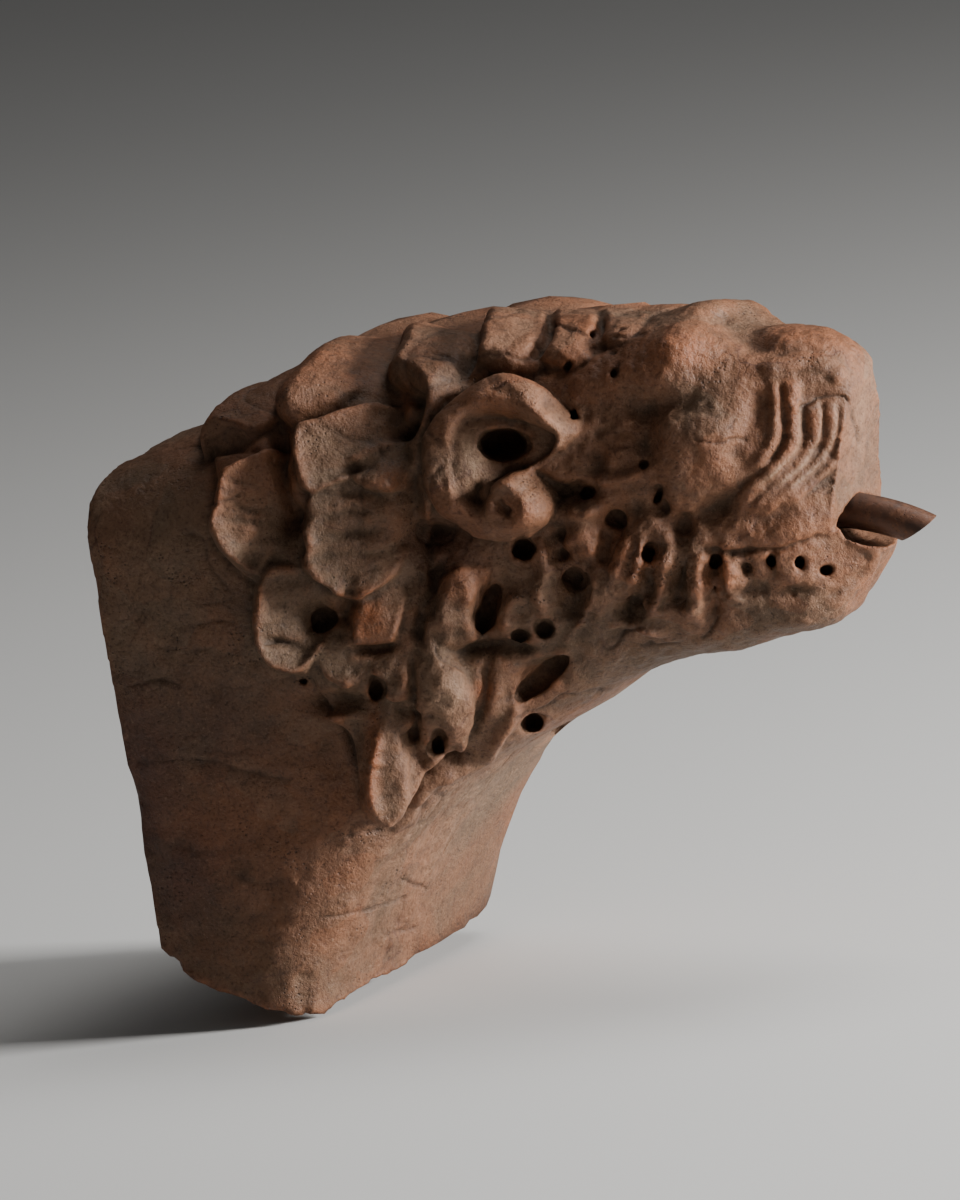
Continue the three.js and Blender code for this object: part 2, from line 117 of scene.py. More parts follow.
def lineDistance(line, u, v):
    # nearest distance to a line, and how far along it that is, from 0 to 1
    best = np.full(len(u), 1e9)
    place = np.zeros(len(u))
    lengths = np.hypot(*(line[1:] - line[:-1]).T)
    run = np.concatenate([[0], np.cumsum(lengths)])
    for i in range(len(line) - 1):
        du, dv = line[i + 1] - line[i]
        size = max(du * du + dv * dv, 1e-9)
        t = np.clip(((u - line[i, 0]) * du + (v - line[i, 1]) * dv) / size, 0, 1)
        d = np.hypot(u - line[i, 0] - t * du, v - line[i, 1] - t * dv)
        closer = d < best
        best = np.where(closer, d, best)
        place = np.where(closer, (run[i] + t * lengths[i]) / run[-1], place)
    return best, place


def insideLine(line, u, v):
    crossings = np.zeros(len(u), bool)
    for (u0, v0), (u1, v1) in zip(line[:-1], line[1:]):
        if v0 != v1:
            spans = (v0 > v) != (v1 > v)
            crossings ^= spans & (u < u0 + (v - v0) * (u1 - u0) / (v1 - v0))
    return crossings


def nearby(line, u, v, margin):
    low = line.min(0) - margin
    high = line.max(0) + margin
    return np.nonzero((u > low[0]) & (u < high[0]) & (v > low[1]) & (v < high[1]))[0]


def within(line, u, v):
    # the points inside a closed line, and how far each is from it
    here = nearby(line, u, v, 1)
    here = here[insideLine(line, u[here], v[here])]
    away, _ = lineDistance(line, u[here], v[here])
    return here, away


def taper(place, start, end):
    # from 0 at both ends of a line up to 1, over these shares of its length
    return smoothStep(0, start, place) * smoothStep(1, 1 - end, place)


# The block under the carving: sections that turn about the throat, then upright ones along the muzzle.
block = {
    "throatX": 363, "throatZ": -267, "throatRadius": 283, "muzzleStep": 6.3,
    "fill": 9, "fillTurn": 65, "fillSpan": 10,  # the throat is a little fuller towards the chin
    "neck": [  # turn, reach, half width low and high, squareness low and high
        (12, 490, 126, 138, 8, 8), (22, 506, 125, 144, 8, 8), (31, 540, 121, 154, 8, 8),
        (40, 577, 116, 160, 7.5, 7), (47, 584, 110, 162, 6.5, 5.5), (51, 563, 106, 160, 6, 4.2),
        (56.5, 544, 101, 148, 5.2, 3.3), (62, 533, 95, 132, 4.6, 3), (68.7, 509, 87, 116, 3.8, 2.8),
        (75, 500, 80, 104, 3.4, 2.7), (83.7, 487, 70, 90, 3, 2.6), (90, 490, 63, 79, 2.9, 2.5),
    ],
    "muzzle": [  # foot x and z, head x and z, half width low and high, squareness low and high
        (381, 20, 381, 215, 58, 69, 2.8, 2.6), (399, 24, 398, 210, 53, 60, 2.8, 2.8),
        (423, 29, 423, 208, 45, 48, 2.9, 3), (438, 40, 443, 203, 33, 33, 3, 3.2),
        (453, 57, 455, 194, 23, 25, 3, 3.2), (467, 74, 461, 182, 18, 19, 3, 3.2),
    ],
    "neckStep": 0.18, "muzzleTurnStep": 0.24, "columns": 640, "ringSteps": 900,
}


def sectionRows():
    rows = []
    for turn, reach, *rest in block["neck"]:
        c, s = math.cos(math.radians(turn)), math.sin(math.radians(turn))
        x, z = block["throatX"], block["throatZ"]
        fill = block["fill"] * math.exp(-((turn - block["fillTurn"]) / block["fillSpan"]) ** 2)
        r = block["throatRadius"] - fill
        rows.append((turn, x - r * c, z + r * s, x - reach * c, z + reach * s, *rest))
    for footX, *rest in block["muzzle"]:
        rows.append((90 + (footX - block["throatX"]) / block["muzzleStep"], footX, *rest))
    return np.array(rows)


def sectionsAt(rows, turns):
    x = rows[:, 0]
    slope = np.empty_like(rows)
    slope[1:-1] = (rows[2:] - rows[:-2]) / (x[2:] - x[:-2])[:, None]
    slope[0] = (rows[1] - rows[0]) / (x[1] - x[0])
    slope[-1] = (rows[-1] - rows[-2]) / (x[-1] - x[-2])
    i = np.clip(np.searchsorted(x, turns) - 1, 0, len(x) - 2)
    span = (x[i + 1] - x[i])[:, None]
    t = (turns - x[i])[:, None] / span
    return ((2 * t ** 3 - 3 * t ** 2 + 1) * rows[i] + (t ** 3 - 2 * t ** 2 + t) * span * slope[i]
            + (3 * t ** 2 - 2 * t ** 3) * rows[i + 1] + (t ** 3 - t ** 2) * span * slope[i + 1])


def blockGrid():
    rows = sectionRows()
    last = rows[-1, 0]
    turns = np.concatenate([np.arange(rows[0, 0], 90, block["neckStep"]),
                            np.arange(90, last, block["muzzleTurnStep"]), [last]])
    half = block["columns"] // 2
    angle = np.linspace(-math.pi / 2, math.pi / 2, block["ringSteps"])
    rings = []
    for _, footX, footZ, headX, headZ, low, high, squareLow, squareHigh in sectionsAt(rows, turns):
        power = 2 / np.where(angle < 0, squareLow, squareHigh)
        up = np.sign(np.sin(angle)) * np.abs(np.sin(angle)) ** power
        across = np.maximum(np.cos(angle), 0) ** power * (low + (high - low) * (up + 1) / 2)
        length = math.hypot(headX - footX, headZ - footZ)
        run = np.concatenate([[0], np.cumsum(np.hypot(np.diff(across), np.diff(up) * length / 2))])
        want = np.linspace(0, run[-1], half + 1)
        across, share = np.interp(want, run, across), (np.interp(want, run, up) + 1) / 2
        x, z = footX + (headX - footX) * share, footZ + (headZ - footZ) * share
        near = np.column_stack([x, -across, z])
        far = np.column_stack([x, across, z])[-2:0:-1]
        rings.append(np.vstack([near, far]))
    return np.array(rings)


def gridSkin(grid):
    # closed skin over rings of points, with a fan at each end, facing outwards
    rings, columns = grid.shape[:2]
    points = np.vstack([grid.reshape(-1, 3), grid[:1].mean(1), grid[-1:].mean(1)])
    r, c = np.meshgrid(np.arange(rings - 1), np.arange(columns), indexing="ij")
    a = (r * columns + c).ravel()
    b = (r * columns + (c + 1) % columns).ravel()
    c = np.arange(columns)
    n = (c + 1) % columns
    end = (rings - 1) * columns
    tip = np.full(columns, rings * columns)
    faces = [np.column_stack([a, b, b + columns, a + columns]), np.column_stack([n, c, tip]),
             np.column_stack([end + c, end + n, tip + 1])]
    corners = [(points - points.mean(0))[f[:, :3]] for f in faces]
    volume = sum(np.sum(np.cross(t[:, 0], t[:, 1]) * t[:, 2]) for t in corners)
    return points, [f[:, ::-1] if volume < 0 else f for f in faces]


def addObject(name, data):
    made = bpy.data.objects.new(name, data)
    bpy.context.scene.collection.objects.link(made)
    return made


def meshFromGrids(name, grids):
    points, faces, count = [], [], 0
    for grid in grids:
        skin, sides = gridSkin(grid)
        points.append(skin)
        for side in sides:
            faces += (side + count).tolist()
        count += len(skin)
    mesh = bpy.data.meshes.new(name)
    mesh.from_pydata((np.vstack(points) * mm).tolist(), [], faces)
    mesh.update()
    return addObject(name, mesh)


def readMesh(mesh):
    co = np.empty(len(mesh.vertices) * 3, np.float32)
    no = np.empty(len(mesh.vertices) * 3, np.float32)
    mesh.vertices.foreach_get("co", co)
    mesh.vertices.foreach_get("normal", no)
    return co.reshape(-1, 3).astype(float) / mm, no.reshape(-1, 3).astype(float)


def writePoints(mesh, points):
    mesh.vertices.foreach_set("co", (points * mm).astype(np.float32).ravel())
    mesh.update()


def mirrored(points, normals):
    # every point and normal as if it were on the near side
    flip = np.where(points[:, 1:2] > 0, [[1, -1, 1]], [[1, 1, 1]])
    return points * flip, normals * flip


# Locks of the mane: where the tip points, height at tip and root, rounding of the rim, ribs, and the
# outline in u and v.
maneLocks = [
    {"tip": 200, "lift": 19, "root": 9, "round": 7, "crisp": 0.6, "rib": 9, "ribHeight": 0.5,
     "outline": [(40, 204), (20, 200), (4, 192), (-8, 180), (-16, 170), (-22, 160), (-22, 152),
                 (-14, 156), (0, 157), (12, 153), (26, 160), (40, 172)]},
    {"tip": 170, "lift": 28, "root": 5, "round": 8.5, "crisp": 1, "rib": 8.5, "ribHeight": 1.1,
     "outline": [(34, 168), (24, 161), (12, 153), (0, 145), (-8, 139), (-13, 126), (-15, 115),
                 (-18, 104), (-15, 92), (-8, 80), (3, 69), (17, 60), (25, 70), (35, 84), (46, 96),
                 (42, 112), (38, 130), (38, 150)]},
    {"tip": 205, "lift": 24, "root": 6, "round": 8, "crisp": 1, "rib": 8, "ribHeight": 1.0,
     "outline": [(12, 72), (10, 56), (9, 40), (11, 26), (19, 14), (32, 8), (46, 7), (57, 18), (67, 34),
                 (68, 54), (60, 74), (42, 82), (24, 82)]},
    {"tip": 268, "lift": 25, "root": 9, "round": 8, "rib": 9, "ribHeight": 0.5,
     "outline": [(53, -16), (66, -12), (80, -8), (94, -2), (106, -2), (113, -20), (111, -40),
                 (112, -58), (107, -73), (97, -82), (87, -80), (79, -72), (76, -55), (72, -40),
                 (66, -26), (59, -20)]},
    {"tip": 250, "lift": 15, "root": 9, "round": 7, "rib": 9, "ribHeight": 0.5,
     "outline": [(100, 6), (118, 4), (132, -8), (143, -28), (142, -40), (129, -44), (120, -51),
                 (112, -62), (104, -74), (100, -60), (100, -30)]},
    {"tip": 230, "lift": 13, "root": 9, "round": 6, "crisp": 0.6, "rib": 8, "ribHeight": 0.6,
     "outline": [(47, 26), (50, 14), (60, 4), (74, 1), (86, 8), (88, 24), (78, 30), (68, 40), (56, 38)]},
    {"tip": 270, "lift": 15, "root": 9, "round": 4, "rib": 9, "ribHeight": 0.4,
     "outline": [(84, 30), (83, 14), (90, 0), (100, -6), (108, -3), (110, 12), (109, 28), (98, 33)]},
    {"tip": 255, "lift": 17, "root": 9, "round": 3, "rib": 8, "ribHeight": 0.4,
     "outline": [(73, 66), (72, 50), (73, 36), (75, 29), (88, 28), (99, 31), (104, 44), (107, 62),
                 (102, 78), (84, 78)]},
    {"tip": 192, "lift": 24, "root": 7, "round": 6.5, "crisp": 1, "rib": 8, "ribHeight": 1.3,
     "outline": [(44, 124), (41, 112), (40, 98), (42, 89), (40, 80), (43, 72), (51, 64), (60, 57),
                 (72, 50), (86, 54), (100, 64), (110, 84), (116, 108), (112, 134), (92, 146), (70, 142),
                 (54, 134)]},
    {"tip": 183, "lift": 26, "root": 9, "round": 7.5, "crisp": 1, "rib": 9, "ribHeight": 1.0,
     "outline": [(42, 168), (37, 164), (34, 157), (33, 146), (36, 133), (38, 125), (44, 116), (48, 111),
                 (60, 117), (80, 127), (100, 140), (111, 158), (112, 176), (105, 190), (95, 193),
                 (76, 183), (56, 173)]},
    {"tip": 214, "lift": 19, "root": 9, "round": 7, "rib": 9, "ribHeight": 0.5,
     "outline": [(64, 135), (78, 143), (95, 152), (112, 166), (124, 170), (120, 150), (112, 135),
                 (102, 122), (88, 120), (74, 125)]},
    {"tip": 190, "lift": 27, "root": 8, "round": 15, "rib": 11, "ribHeight": 0.7,
     "outline": [(38, 165), (29, 167), (24, 173), (22, 181), (25, 189), (33, 199), (43, 211), (55, 224),
                 (72, 234), (112, 234), (108, 206), (97, 197), (78, 186), (58, 174)]},
    {"tip": 192, "lift": 24, "root": 6, "round": 12, "crisp": 0.3, "rib": 10, "ribHeight": 0.5,
     "outline": [(91, 194), (89, 200), (92, 207), (97, 216), (103, 230), (120, 240), (158, 240),
                 (152, 206), (140, 196), (130, 182), (124, 168), (112, 160), (105, 158), (108, 168),
                 (110, 176), (108, 185), (99, 190)]},
    {"tip": 186, "lift": 19, "root": 6, "round": 10, "rib": 9, "ribHeight": 0.4,
     "outline": [(148, 202), (144, 211), (146, 219), (150, 228), (155, 244), (202, 244), (193, 226),
                 (187, 212), (180, 203), (165, 200)]},
    {"tip": 185, "lift": 12, "root": 4, "round": 8, "rib": 8, "ribHeight": 0.4,
     "outline": [(183, 205), (189, 215), (192, 225), (196, 244), (230, 244), (223, 226), (218, 215),
                 (212, 205), (198, 201)]},
    {"tip": 185, "lift": 8, "root": 3, "round": 7, "rib": 8, "ribHeight": 0.3,
     "outline": [(220, 214), (222, 224), (226, 233), (230, 244), (254, 244), (247, 227), (241, 216),
                 (230, 211)]},
    {"tip": 240, "lift": 9, "root": 2, "round": 10, "rib": 8, "ribHeight": 0.6,
     "outline": [(122, 28), (119, 42), (121, 58), (128, 70), (140, 76), (154, 74), (152, 62), (146, 48),
                 (150, 36), (140, 26)]},
]

# A crisp lock has a bevelled side, a raised rim towards its tip and a dished face behind it.
lockRim = {"slope": 0.75, "height": 1.2, "wide": 2.2, "back": 1, "dish": 2.2, "dishSpan": 12,
           "rise": (-0.95, 0.85), "tipward": (-0.85, -0.2)}  # spans from the root, -1, to the tip, 1

# Ribs along a lock fan out towards its tip and stop short of its rim.
lockRibs = {"fan": 0.3, "stretch": 8, "apart": 20.0, "inside": (1, 6)}

# The mane stands up from the neck as one mass, and the locks lie on it.
maneMass = {
    "height": 10, "round": 12,
    "outline": [(-14, 152), (-10, 128), (-12, 108), (-8, 92), (4, 78), (18, 64), (17, 44), (20, 28),
                (32, 15), (48, 8), (56, -8), (70, -18), (80, -40), (86, -64), (94, -78), (106, -68),
                (118, -48), (138, -38), (147, -20), (144, 6), (132, 30), (124, 50), (118, 74),
                (112, 104), (112, 150), (124, 176), (150, 194), (190, 204), (222, 214), (226, 246),
                (30, 240), (10, 198), (-20, 166)],
}

# Ear: a rolled rim between two outlines, a sloping floor inside it.
ear = {
    "height": 21, "outerRound": 13, "innerRound": 8, "lip": 3, "floor": (16, -3),
    "floorSpan": (136, 166), "fade": (208, 188),
    "outer": [(202, 158), (197, 172), (184, 189), (165, 197), (146, 191), (130, 179), (117, 165),
              (111, 150), (112, 130), (117, 115), (127, 102), (141, 93), (160, 89), (177, 92),
              (188, 101), (191, 112), (187, 123), (178, 131), (185, 140), (196, 147)],
    "inner": [(191, 154), (180, 163), (165, 169), (151, 168), (141, 160), (137, 144), (138, 131),
              (142, 121), (149, 114), (153, 118), (157, 126), (165, 132), (175, 134), (186, 142)],
}

# Folds of the snarl, each half width, height, line.
snarlFolds = [
    (5.4, 4.4, [(333, 193), (335, 184), (336.5, 172), (337.5, 160), (336.5, 150), (332.5, 142),
                (326, 134.5), (318, 127.5), (310, 120), (304, 112), (300, 104)]),
    (4.9, 3, [(346, 179), (348.5, 170), (349.5, 160), (348.5, 150), (344.5, 142), (338, 135),
              (330, 128), (321.5, 121), (313.5, 113), (308, 104)]),
    (4.7, 2.8, [(357, 180), (359, 170), (359.5, 160), (358, 150), (353.5, 141.5), (346.5, 134),
                (338, 127), (329, 120), (320.5, 112.5), (314, 105)]),
    (3.6, 2.2, [(365.5, 176), (367, 166), (366.5, 155), (364, 146), (359.5, 138), (353, 131.5),
                (345, 125.5), (336, 119), (327, 112)]),
    (3.6, 1.4, [(370.5, 176), (369.5, 158), (367, 143), (364, 129), (363, 115), (365, 101)]),
    (4, 2, [(324, 191), (325.5, 180), (326.5, 166), (325, 152), (318, 141), (309, 132)]),
    (6, 2.4, [(318, 190), (324, 196), (336, 199), (350, 199), (361, 194), (368, 184)]),
    (3.5, 1.6, [(366, 97), (374, 93), (381, 89), (386, 84), (385.5, 78), (381, 70), (372, 61),
                (354, 52)]),
]
# Grooves beside the folds, with a painted highlight line along the upper side of all but the first.
foldGrooves = {
    "halfWidth": 1.5, "depth": 0.8, "ends": (0.12, 0.2), "highlightWidth": 1.3, "highlightShift": (-1.8, 1.1),
    "lines": [
        [(327, 192), (329.5, 180), (331.5, 166), (331, 153), (325.5, 143.5), (316.5, 135)],
        [(341.5, 176), (343, 168), (343.5, 158), (342, 149), (337.5, 141), (331, 134.5), (323.5, 128),
         (315, 120.5)],
        [(353, 178), (354.5, 168), (354.8, 158), (352.8, 149), (348, 140.5), (341.5, 133.5),
         (333, 126.5), (324.5, 119.5)],
        [(362.3, 177), (363.6, 166), (363, 156), (360.5, 147), (356, 139), (349.5, 132.5), (341.5, 126),
         (332.5, 119.5)],
    ],
}

# Swellings and hollows: middle, half sizes, tilt in degrees, height.
carvedMounds = [
    (268, 205, 30, 15, 12, 10), (288, 150, 32, 33, 0, 12), (254, 173, 30, 10, 4, -9),
    (310, 213, 24, 8, -22, -5), (336, 106, 34, 17, 12, 8), (326, 107, 18, 8, 10, -5),
    (292, 112, 16, 8, 25, -9), (224, 152, 22, 26, 0, -7), (108, 118, 28, 7, 100, -12),
    (176, 111, 7, 9, 0, 3), (128, 137, 6, 11, 0, -3), (98, 174, 20, 8, 82, -13),
    (104, 160, 9, 6, 40, -14), (38, 104, 11, 7, 60, -15), (289, 232, 20, 9, 0, 4),
    (122, 95, 18, 8, 8, -18), (53, 46, 13, 9, 10, -12), (240, 66, 66, 22, 8, 4), (130, 2, 18, 20, 0, 9),
    (113, -36, 7, 13, 20, -9), (75, -28, 5, 14, 15, -5), (160, -2, 9, 18, -20, 6),
    (66, -4, 18, 6, 0, -10), (247, 152, 9, 22, 0, -9), (339, 61, 8, 4, 5, -5), (340, 45, 40, 6, 12, 3),
    (232, 190, 20, 7, 10, 4), (214, 182, 8, 9, 0, 4), (110, 76, 12, 22, 0, -10),
    (318, 66, 16, 6, 5, -4), (244, 112, 14, 6, 0, -4), (60, 26, 8, 8, 0, 4), (102, 145, 14, 6, 35, -4),
    (30, 150, 6, 18, 0, -8), (-4, 150, 14, 5, 8, -8), (66, 178, 24, 5, 20, 3), (104, -14, 5, 9, 0, -6),
    (60, -40, 10, 20, 20, -4), (353, 189, 16, 9, 0, 3.2), (215, 112, 8, 6, 0, 3),
    (268, 99, 6.5, 8, 0, -6), (270, 69, 5, 9, -10, -7), (240, 54, 6, 9, -25, -8),
    (209, 65, 8, 10, 0, -5), (291.5, 78, 5, 6, 0, -5), (309, 75, 4, 4, 0, -4), (232, 104, 7, 7, 0, -5),
]

# Channels, and strands where the depth is below nothing: half width, depth, line.
carvedGrooves = [
    (7, 3.6, [(318, 186), (316, 172), (312, 158), (304, 146), (296, 136)]),
    (2.2, 3.4, [(280, 90), (292, 87), (305, 86), (316, 88), (328, 87.5), (338, 91), (347, 94),
                (357, 94.5)]),
    (6, 13, [(216, 121), (202, 120), (190, 122), (180, 131)]),
    (5, 9, [(184, 179), (194, 172), (207, 167)]),
    (5, 10, [(133, 25), (150, 27), (168, 27), (187, 24)]),
    (5, 12, [(197, 99), (198, 88), (200, 78)]),
    (7, 8, [(232, 106), (227, 92), (225, 78)]),
    (8, 9, [(207, 75), (206, 60), (207, 43)]),
    (6, 7, [(254, 86), (253, 68), (246, 56), (239, 46), (235, 36)]),
    (6, 6, [(270, 80), (269, 66), (267, 50)]),
    (5, 7, [(290, 84), (290, 66), (291, 52), (288, 40)]),
    (5, 5, [(272, 110), (273, 95)]),
    (7, 12, [(162, 68), (156, 54), (149, 40)]),
    (5, 9, [(256, 128), (257, 116), (262, 106)]),
    (3, 4, [(306, 79), (312, 74)]),
    (3.5, 4, [(322, 84), (326, 70)]),
    (3, 3, [(341, 82), (343, 72)]),
    (9, 11, [(172, 2), (186, 10), (203, 22)]),
    (3, 5, [(161, 119), (163, 113), (170, 108)]),
    (2.6, -3.5, [(174, 120), (168, 126), (160, 126.5), (155, 121), (155, 114)]),
    (3.6, 7, [(150, 128), (147, 119), (149, 110)]),
    (6, 10, [(124, -30), (133, -36), (141, -37)]),
    (3.5, 9, [(193, 231), (191, 219), (184, 207), (178, 202)]),
    (3, 7, [(223, 230), (222, 221), (217, 214)]),
    (4, 10, [(148, 226), (146, 214), (143, 202), (140, 190)]),
    (5, 11, [(108, 187), (112, 176), (105, 161)]),
    (4, 9, [(31, 164), (29, 146), (32, 124), (40, 108)]),
    (4, 9, [(109, -6), (111, -20), (107, -38)]),
    (5, 9, [(66, 38), (70, 52), (72, 66)]),
    (3, 6, [(73, 26), (88, 27), (101, 30)]),
    (4, 4.5, [(62, 131), (80, 139), (100, 149)]),
    (6, -6, [(262, 92), (261, 76), (257, 60), (250, 44)]),
    (6, -6, [(281, 90), (281, 74), (280, 58), (274, 44)]),
    (8, -6, [(242, 98), (234, 82), (226, 64), (221, 44)]),
    (7, -6, [(188, 98), (190, 80), (188, 62), (194, 46)]),
    (6, -5, [(301, 86), (302, 72), (301, 54)]),
    (12, -8, [(150, 77), (138, 66), (130, 50), (126, 34)]),
    (4, 7, [(132, 84), (122, 66), (114, 44), (113, 26)]),
    (4, -5, [(146, 64), (144, 48), (146, 34)]),
    (4, -5, [(196, 84), (202, 92), (214, 96)]),
    (3.5, -5, [(222, 90), (220, 72), (214, 52), (204, 34)]),
    (3.5, -5, [(248, 96), (246, 80), (240, 66)]),
    (3.5, -4, [(228, 44), (244, 42), (262, 38)]),
    (3, -4, [(296, 90), (297, 76), (298, 60)]),
    (4, -4, [(160, 30), (176, 24), (196, 24), (210, 28)]),
    (5, -6, [(182, 60), (171, 58), (166, 48), (168, 36)]),
    (6, -5, [(208, 106), (216, 94), (216, 80)]),
    (3, 4, [(154, 20), (154, 2), (148, -20)]),
    (3, 5, [(110, 24), (110, 8), (112, -12)]),
    (4, -4, [(216, 128), (234, 129), (250, 134)]),
    (4, -4, [(202, 113), (212, 108), (222, 113)]),
    (4, -6, [(100, -79), (106, -74), (113, -62), (122, -53), (136, -45), (152, -38), (160, -26),
             (171, -8), (174, 12)]),
    (4.5, -5, [(95, -12), (90, -28), (85, -46), (85, -64), (92, -77)]),
    (4, -3, [(54, -16), (66, -13), (80, -10)]),
    (4, -4, [(68, 136), (86, 145), (108, 159)]),
    (3, 1.3, [(97, 116), (80, 121), (62, 118)]),
    (2.6, 1.2, [(92, 106), (74, 110), (52, 104)]),
    (3, 1.1, [(96, 98), (76, 97), (50, 94)]),
    (2.8, 1.1, [(94, 84), (74, 85), (50, 82)]),
    (2, 1.3, [(24, 124), (8, 127), (-6, 132)]),
    (2, 1.5, [(24, 112), (12, 111), (2, 116)]),
    (2, 1.2, [(20, 103), (8, 104), (-10, 108)]),
    (2, 1.2, [(26, 146), (12, 146), (0, 150)]),
    (2.5, 2.4, [(44, 28), (32, 31), (18, 34)]),
]

# The arris round the wall face is worn back.
wallEdge = {"deep": 15, "round": 1.5, "ragged": 4.5, "lumps": 34}

# How the relief lies on the block.
relief = {
    "shift": 0.8,  # outlines are moved by this share of the height, to show where they were drawn
    "facing": (-0.06, 0.14),  # the relief fades out where the block turns away from the viewer
    "farShare": 0.85, "farFrom": (10, 45),  # the far side is lower, and plain below the beard
    "foldEnds": 0.15, "grooveEnds": 0.25, "grooveLeast": 0.3,
}


def quarter(x):
    return np.sqrt(1 - (1 - np.clip(x, 0, 1)) ** 2)


def shifted(u, v, nu, nv, height):
    reach = relief["shift"] * height
    return u + reach * nu, v + reach * nv


def lockHeights(heights, u, v, nu, nv):
    line = smoothLine(maneMass["outline"], closed=True)
    su, sv = shifted(u, v, nu, nv, maneMass["height"])
    here, away = within(line, su, sv)
    heights[here] = maneMass["height"] * quarter(away / maneMass["round"])
    for lock in maneLocks:
        line = smoothLine(lock["outline"], closed=True)
        su, sv = shifted(u, v, nu, nv, lock["lift"])
        here, away = within(line, su, sv)
        forth, _ = lockPlace(lock, line, su[here], sv[here])
        height = lock["root"] + (lock["lift"] - lock["root"]) * smoothStep(*lockRim["rise"], forth)
        tipward = smoothStep(*lockRim["tipward"], forth)
        crisp = lock.get("crisp", 0)
        inward = np.clip(away / lock["round"], 0, 1)
        edge = 1 - tipward * (1 - crisp * inward ** lockRim["slope"] - (1 - crisp) * quarter(inward))
        behind = away - lock["round"]
        rim = lockRim["height"] * np.exp(-((behind - lockRim["back"]) / lockRim["wide"]) ** 2)
        dish = lockRim["dish"] * smoothStep(0, lockRim["dishSpan"], behind)
        heights[here] = np.maximum(heights[here], height * edge + tipward * crisp * (rim - dish))


def lockPlace(lock, line, u, v):
    # how far towards the tip, from -1 to 1, and how far aside in millimetres
    tip = math.radians(lock["tip"])
    way = np.array([math.cos(tip), math.sin(tip)])
    reach = line @ way
    middle = (reach.max() + reach.min()) / 2
    centre = line.mean(0)
    forth = (u * way[0] + v * way[1] - middle) / ((reach.max() - reach.min()) / 2)
    aside = (v - centre[1]) * way[0] - (u - centre[0]) * way[1]
    return forth, aside


def earHeights(heights, u, v, nu, nv):
    outer, inner = (smoothLine(ear[key], closed=True) for key in ("outer", "inner"))
    su, sv = shifted(u, v, nu, nv, ear["height"])
    here, outAway = within(outer, su, sv)
    pu, pv = su[here], sv[here]
    inAway, _ = lineDistance(inner, pu, pv)
    rim = ear["height"] * quarter(outAway / ear["outerRound"]) * quarter(inAway / ear["innerRound"])
    rim *= smoothStep(*ear["fade"], pu)
    high, low = ear["floor"]
    floor = high + (low - high) * smoothStep(*ear["floorSpan"], pu)
    bowl = insideLine(inner, pu, pv)
    heights[here] = np.where(bowl, floor, np.maximum(rim, np.where(inAway < ear["lip"], floor, 0)))


def reliefHeights(points, normals):
    far = points[:, 1] > 0
    points, normals = mirrored(points, normals)
    u, v = points @ axisU, points @ axisV
    nu, nv = normals @ axisU, normals @ axisV
    heights = np.zeros(len(points))
    lockHeights(heights, u, v, nu, nv)
    earHeights(heights, u, v, nu, nv)
    for halfWidth, height, places in snarlFolds:
        line = smoothLine(places)
        su, sv = shifted(u, v, nu, nv, height)
        here = nearby(line, su, sv, halfWidth)
        away, place = lineDistance(line, su[here], sv[here])
        ends = taper(place, relief["foldEnds"], relief["foldEnds"])
        bump = height * ends * np.sqrt(np.maximum(1 - (away / halfWidth) ** 2, 0))
        heights[here] = np.maximum(heights[here], bump)
    shown = heights.copy()
    su, sv = u + shown * nu, v + shown * nv
    for au, av, long, wide, tilt, height in carvedMounds:
        a = math.radians(tilt)
        forth = ((su - au) * math.cos(a) + (sv - av) * math.sin(a)) / long
        aside = ((sv - av) * math.cos(a) - (su - au) * math.sin(a)) / wide
        heights += height * np.exp(-forth ** 2 - aside ** 2)
    for halfWidth, depth, places in carvedGrooves:
        line = smoothLine(places)
        here = nearby(line, su, sv, halfWidth * 2)
        away, place = lineDistance(line, su[here], sv[here])
        ends = taper(place, relief["grooveEnds"], relief["grooveEnds"])
        ends = ends * (1 - relief["grooveLeast"]) + relief["grooveLeast"]
        heights[here] -= depth * ends * np.exp(-(away / halfWidth) ** 2)
    facing = smoothStep(*relief["facing"], normals @ axisOut)
    ragged = wallEdge["ragged"] * np.maximum(lumps(points, wallEdge["lumps"], 71, 2), 0)
    worn = (1 - smoothStep(0, wallEdge["deep"], points[:, 0])) * (wallEdge["round"] + ragged)
    farSide = relief["farShare"] * smoothStep(*relief["farFrom"], v)
    return heights * facing * np.where(far, farSide, 1) - worn


# Drilled holes: middle, half width and half height, tilt in degrees, depth.
drills = [
    (176, 87, 7, 6.6, 0, 17), (156, 53, 5, 11.5, -22, 8), (175, 35, 4.5, 4, 0, 10),
    (189, 39, 5, 5, 0, 13), (208, 69, 6, 6, -8, 8), (252, 83, 4.2, 5.4, 0, 15), (291, 80, 3, 3.6, 0, 9),
    (324, 80, 3.3, 4.1, 0, 16), (341, 78.5, 2.9, 3.7, 0, 16), (357, 74.5, 3.4, 2.6, 10, 12),
    (232, 105, 4.4, 4.2, 0, 5), (257, 119, 2, 3.8, -20, 9), (248, 138, 2.2, 2, 0, 6),
    (214, 121, 4.5, 3.5, 0, 12), (188, 10, 19, 7, 40, 10), (183, -18, 7, 6.8, 0, 30),
    (199, -22, 3.4, 5.5, -35, 20), (126, -30, 4.5, 6, 0, 15), (88, 3, 5, 7, 0, 14),
    (57, 45, 8, 6, 20, 8), (165, 150, 15, 10.5, 0, 34), (203, 197, 1.8, 3, -25, 9),
    (230, 192, 2, 3, -25, 9), (207, 167, 3, 3.2, 0, 12), (235, 218, 2.8, 1, 10, 7),
    (218, 216, 1.6, 1.6, 0, 7), (229, 204, 2.6, 1.2, 15, 8), (44, 8, 2.4, 1.8, 0, 7),
    (290, 63, 1.6, 2.4, -25, 6),
]
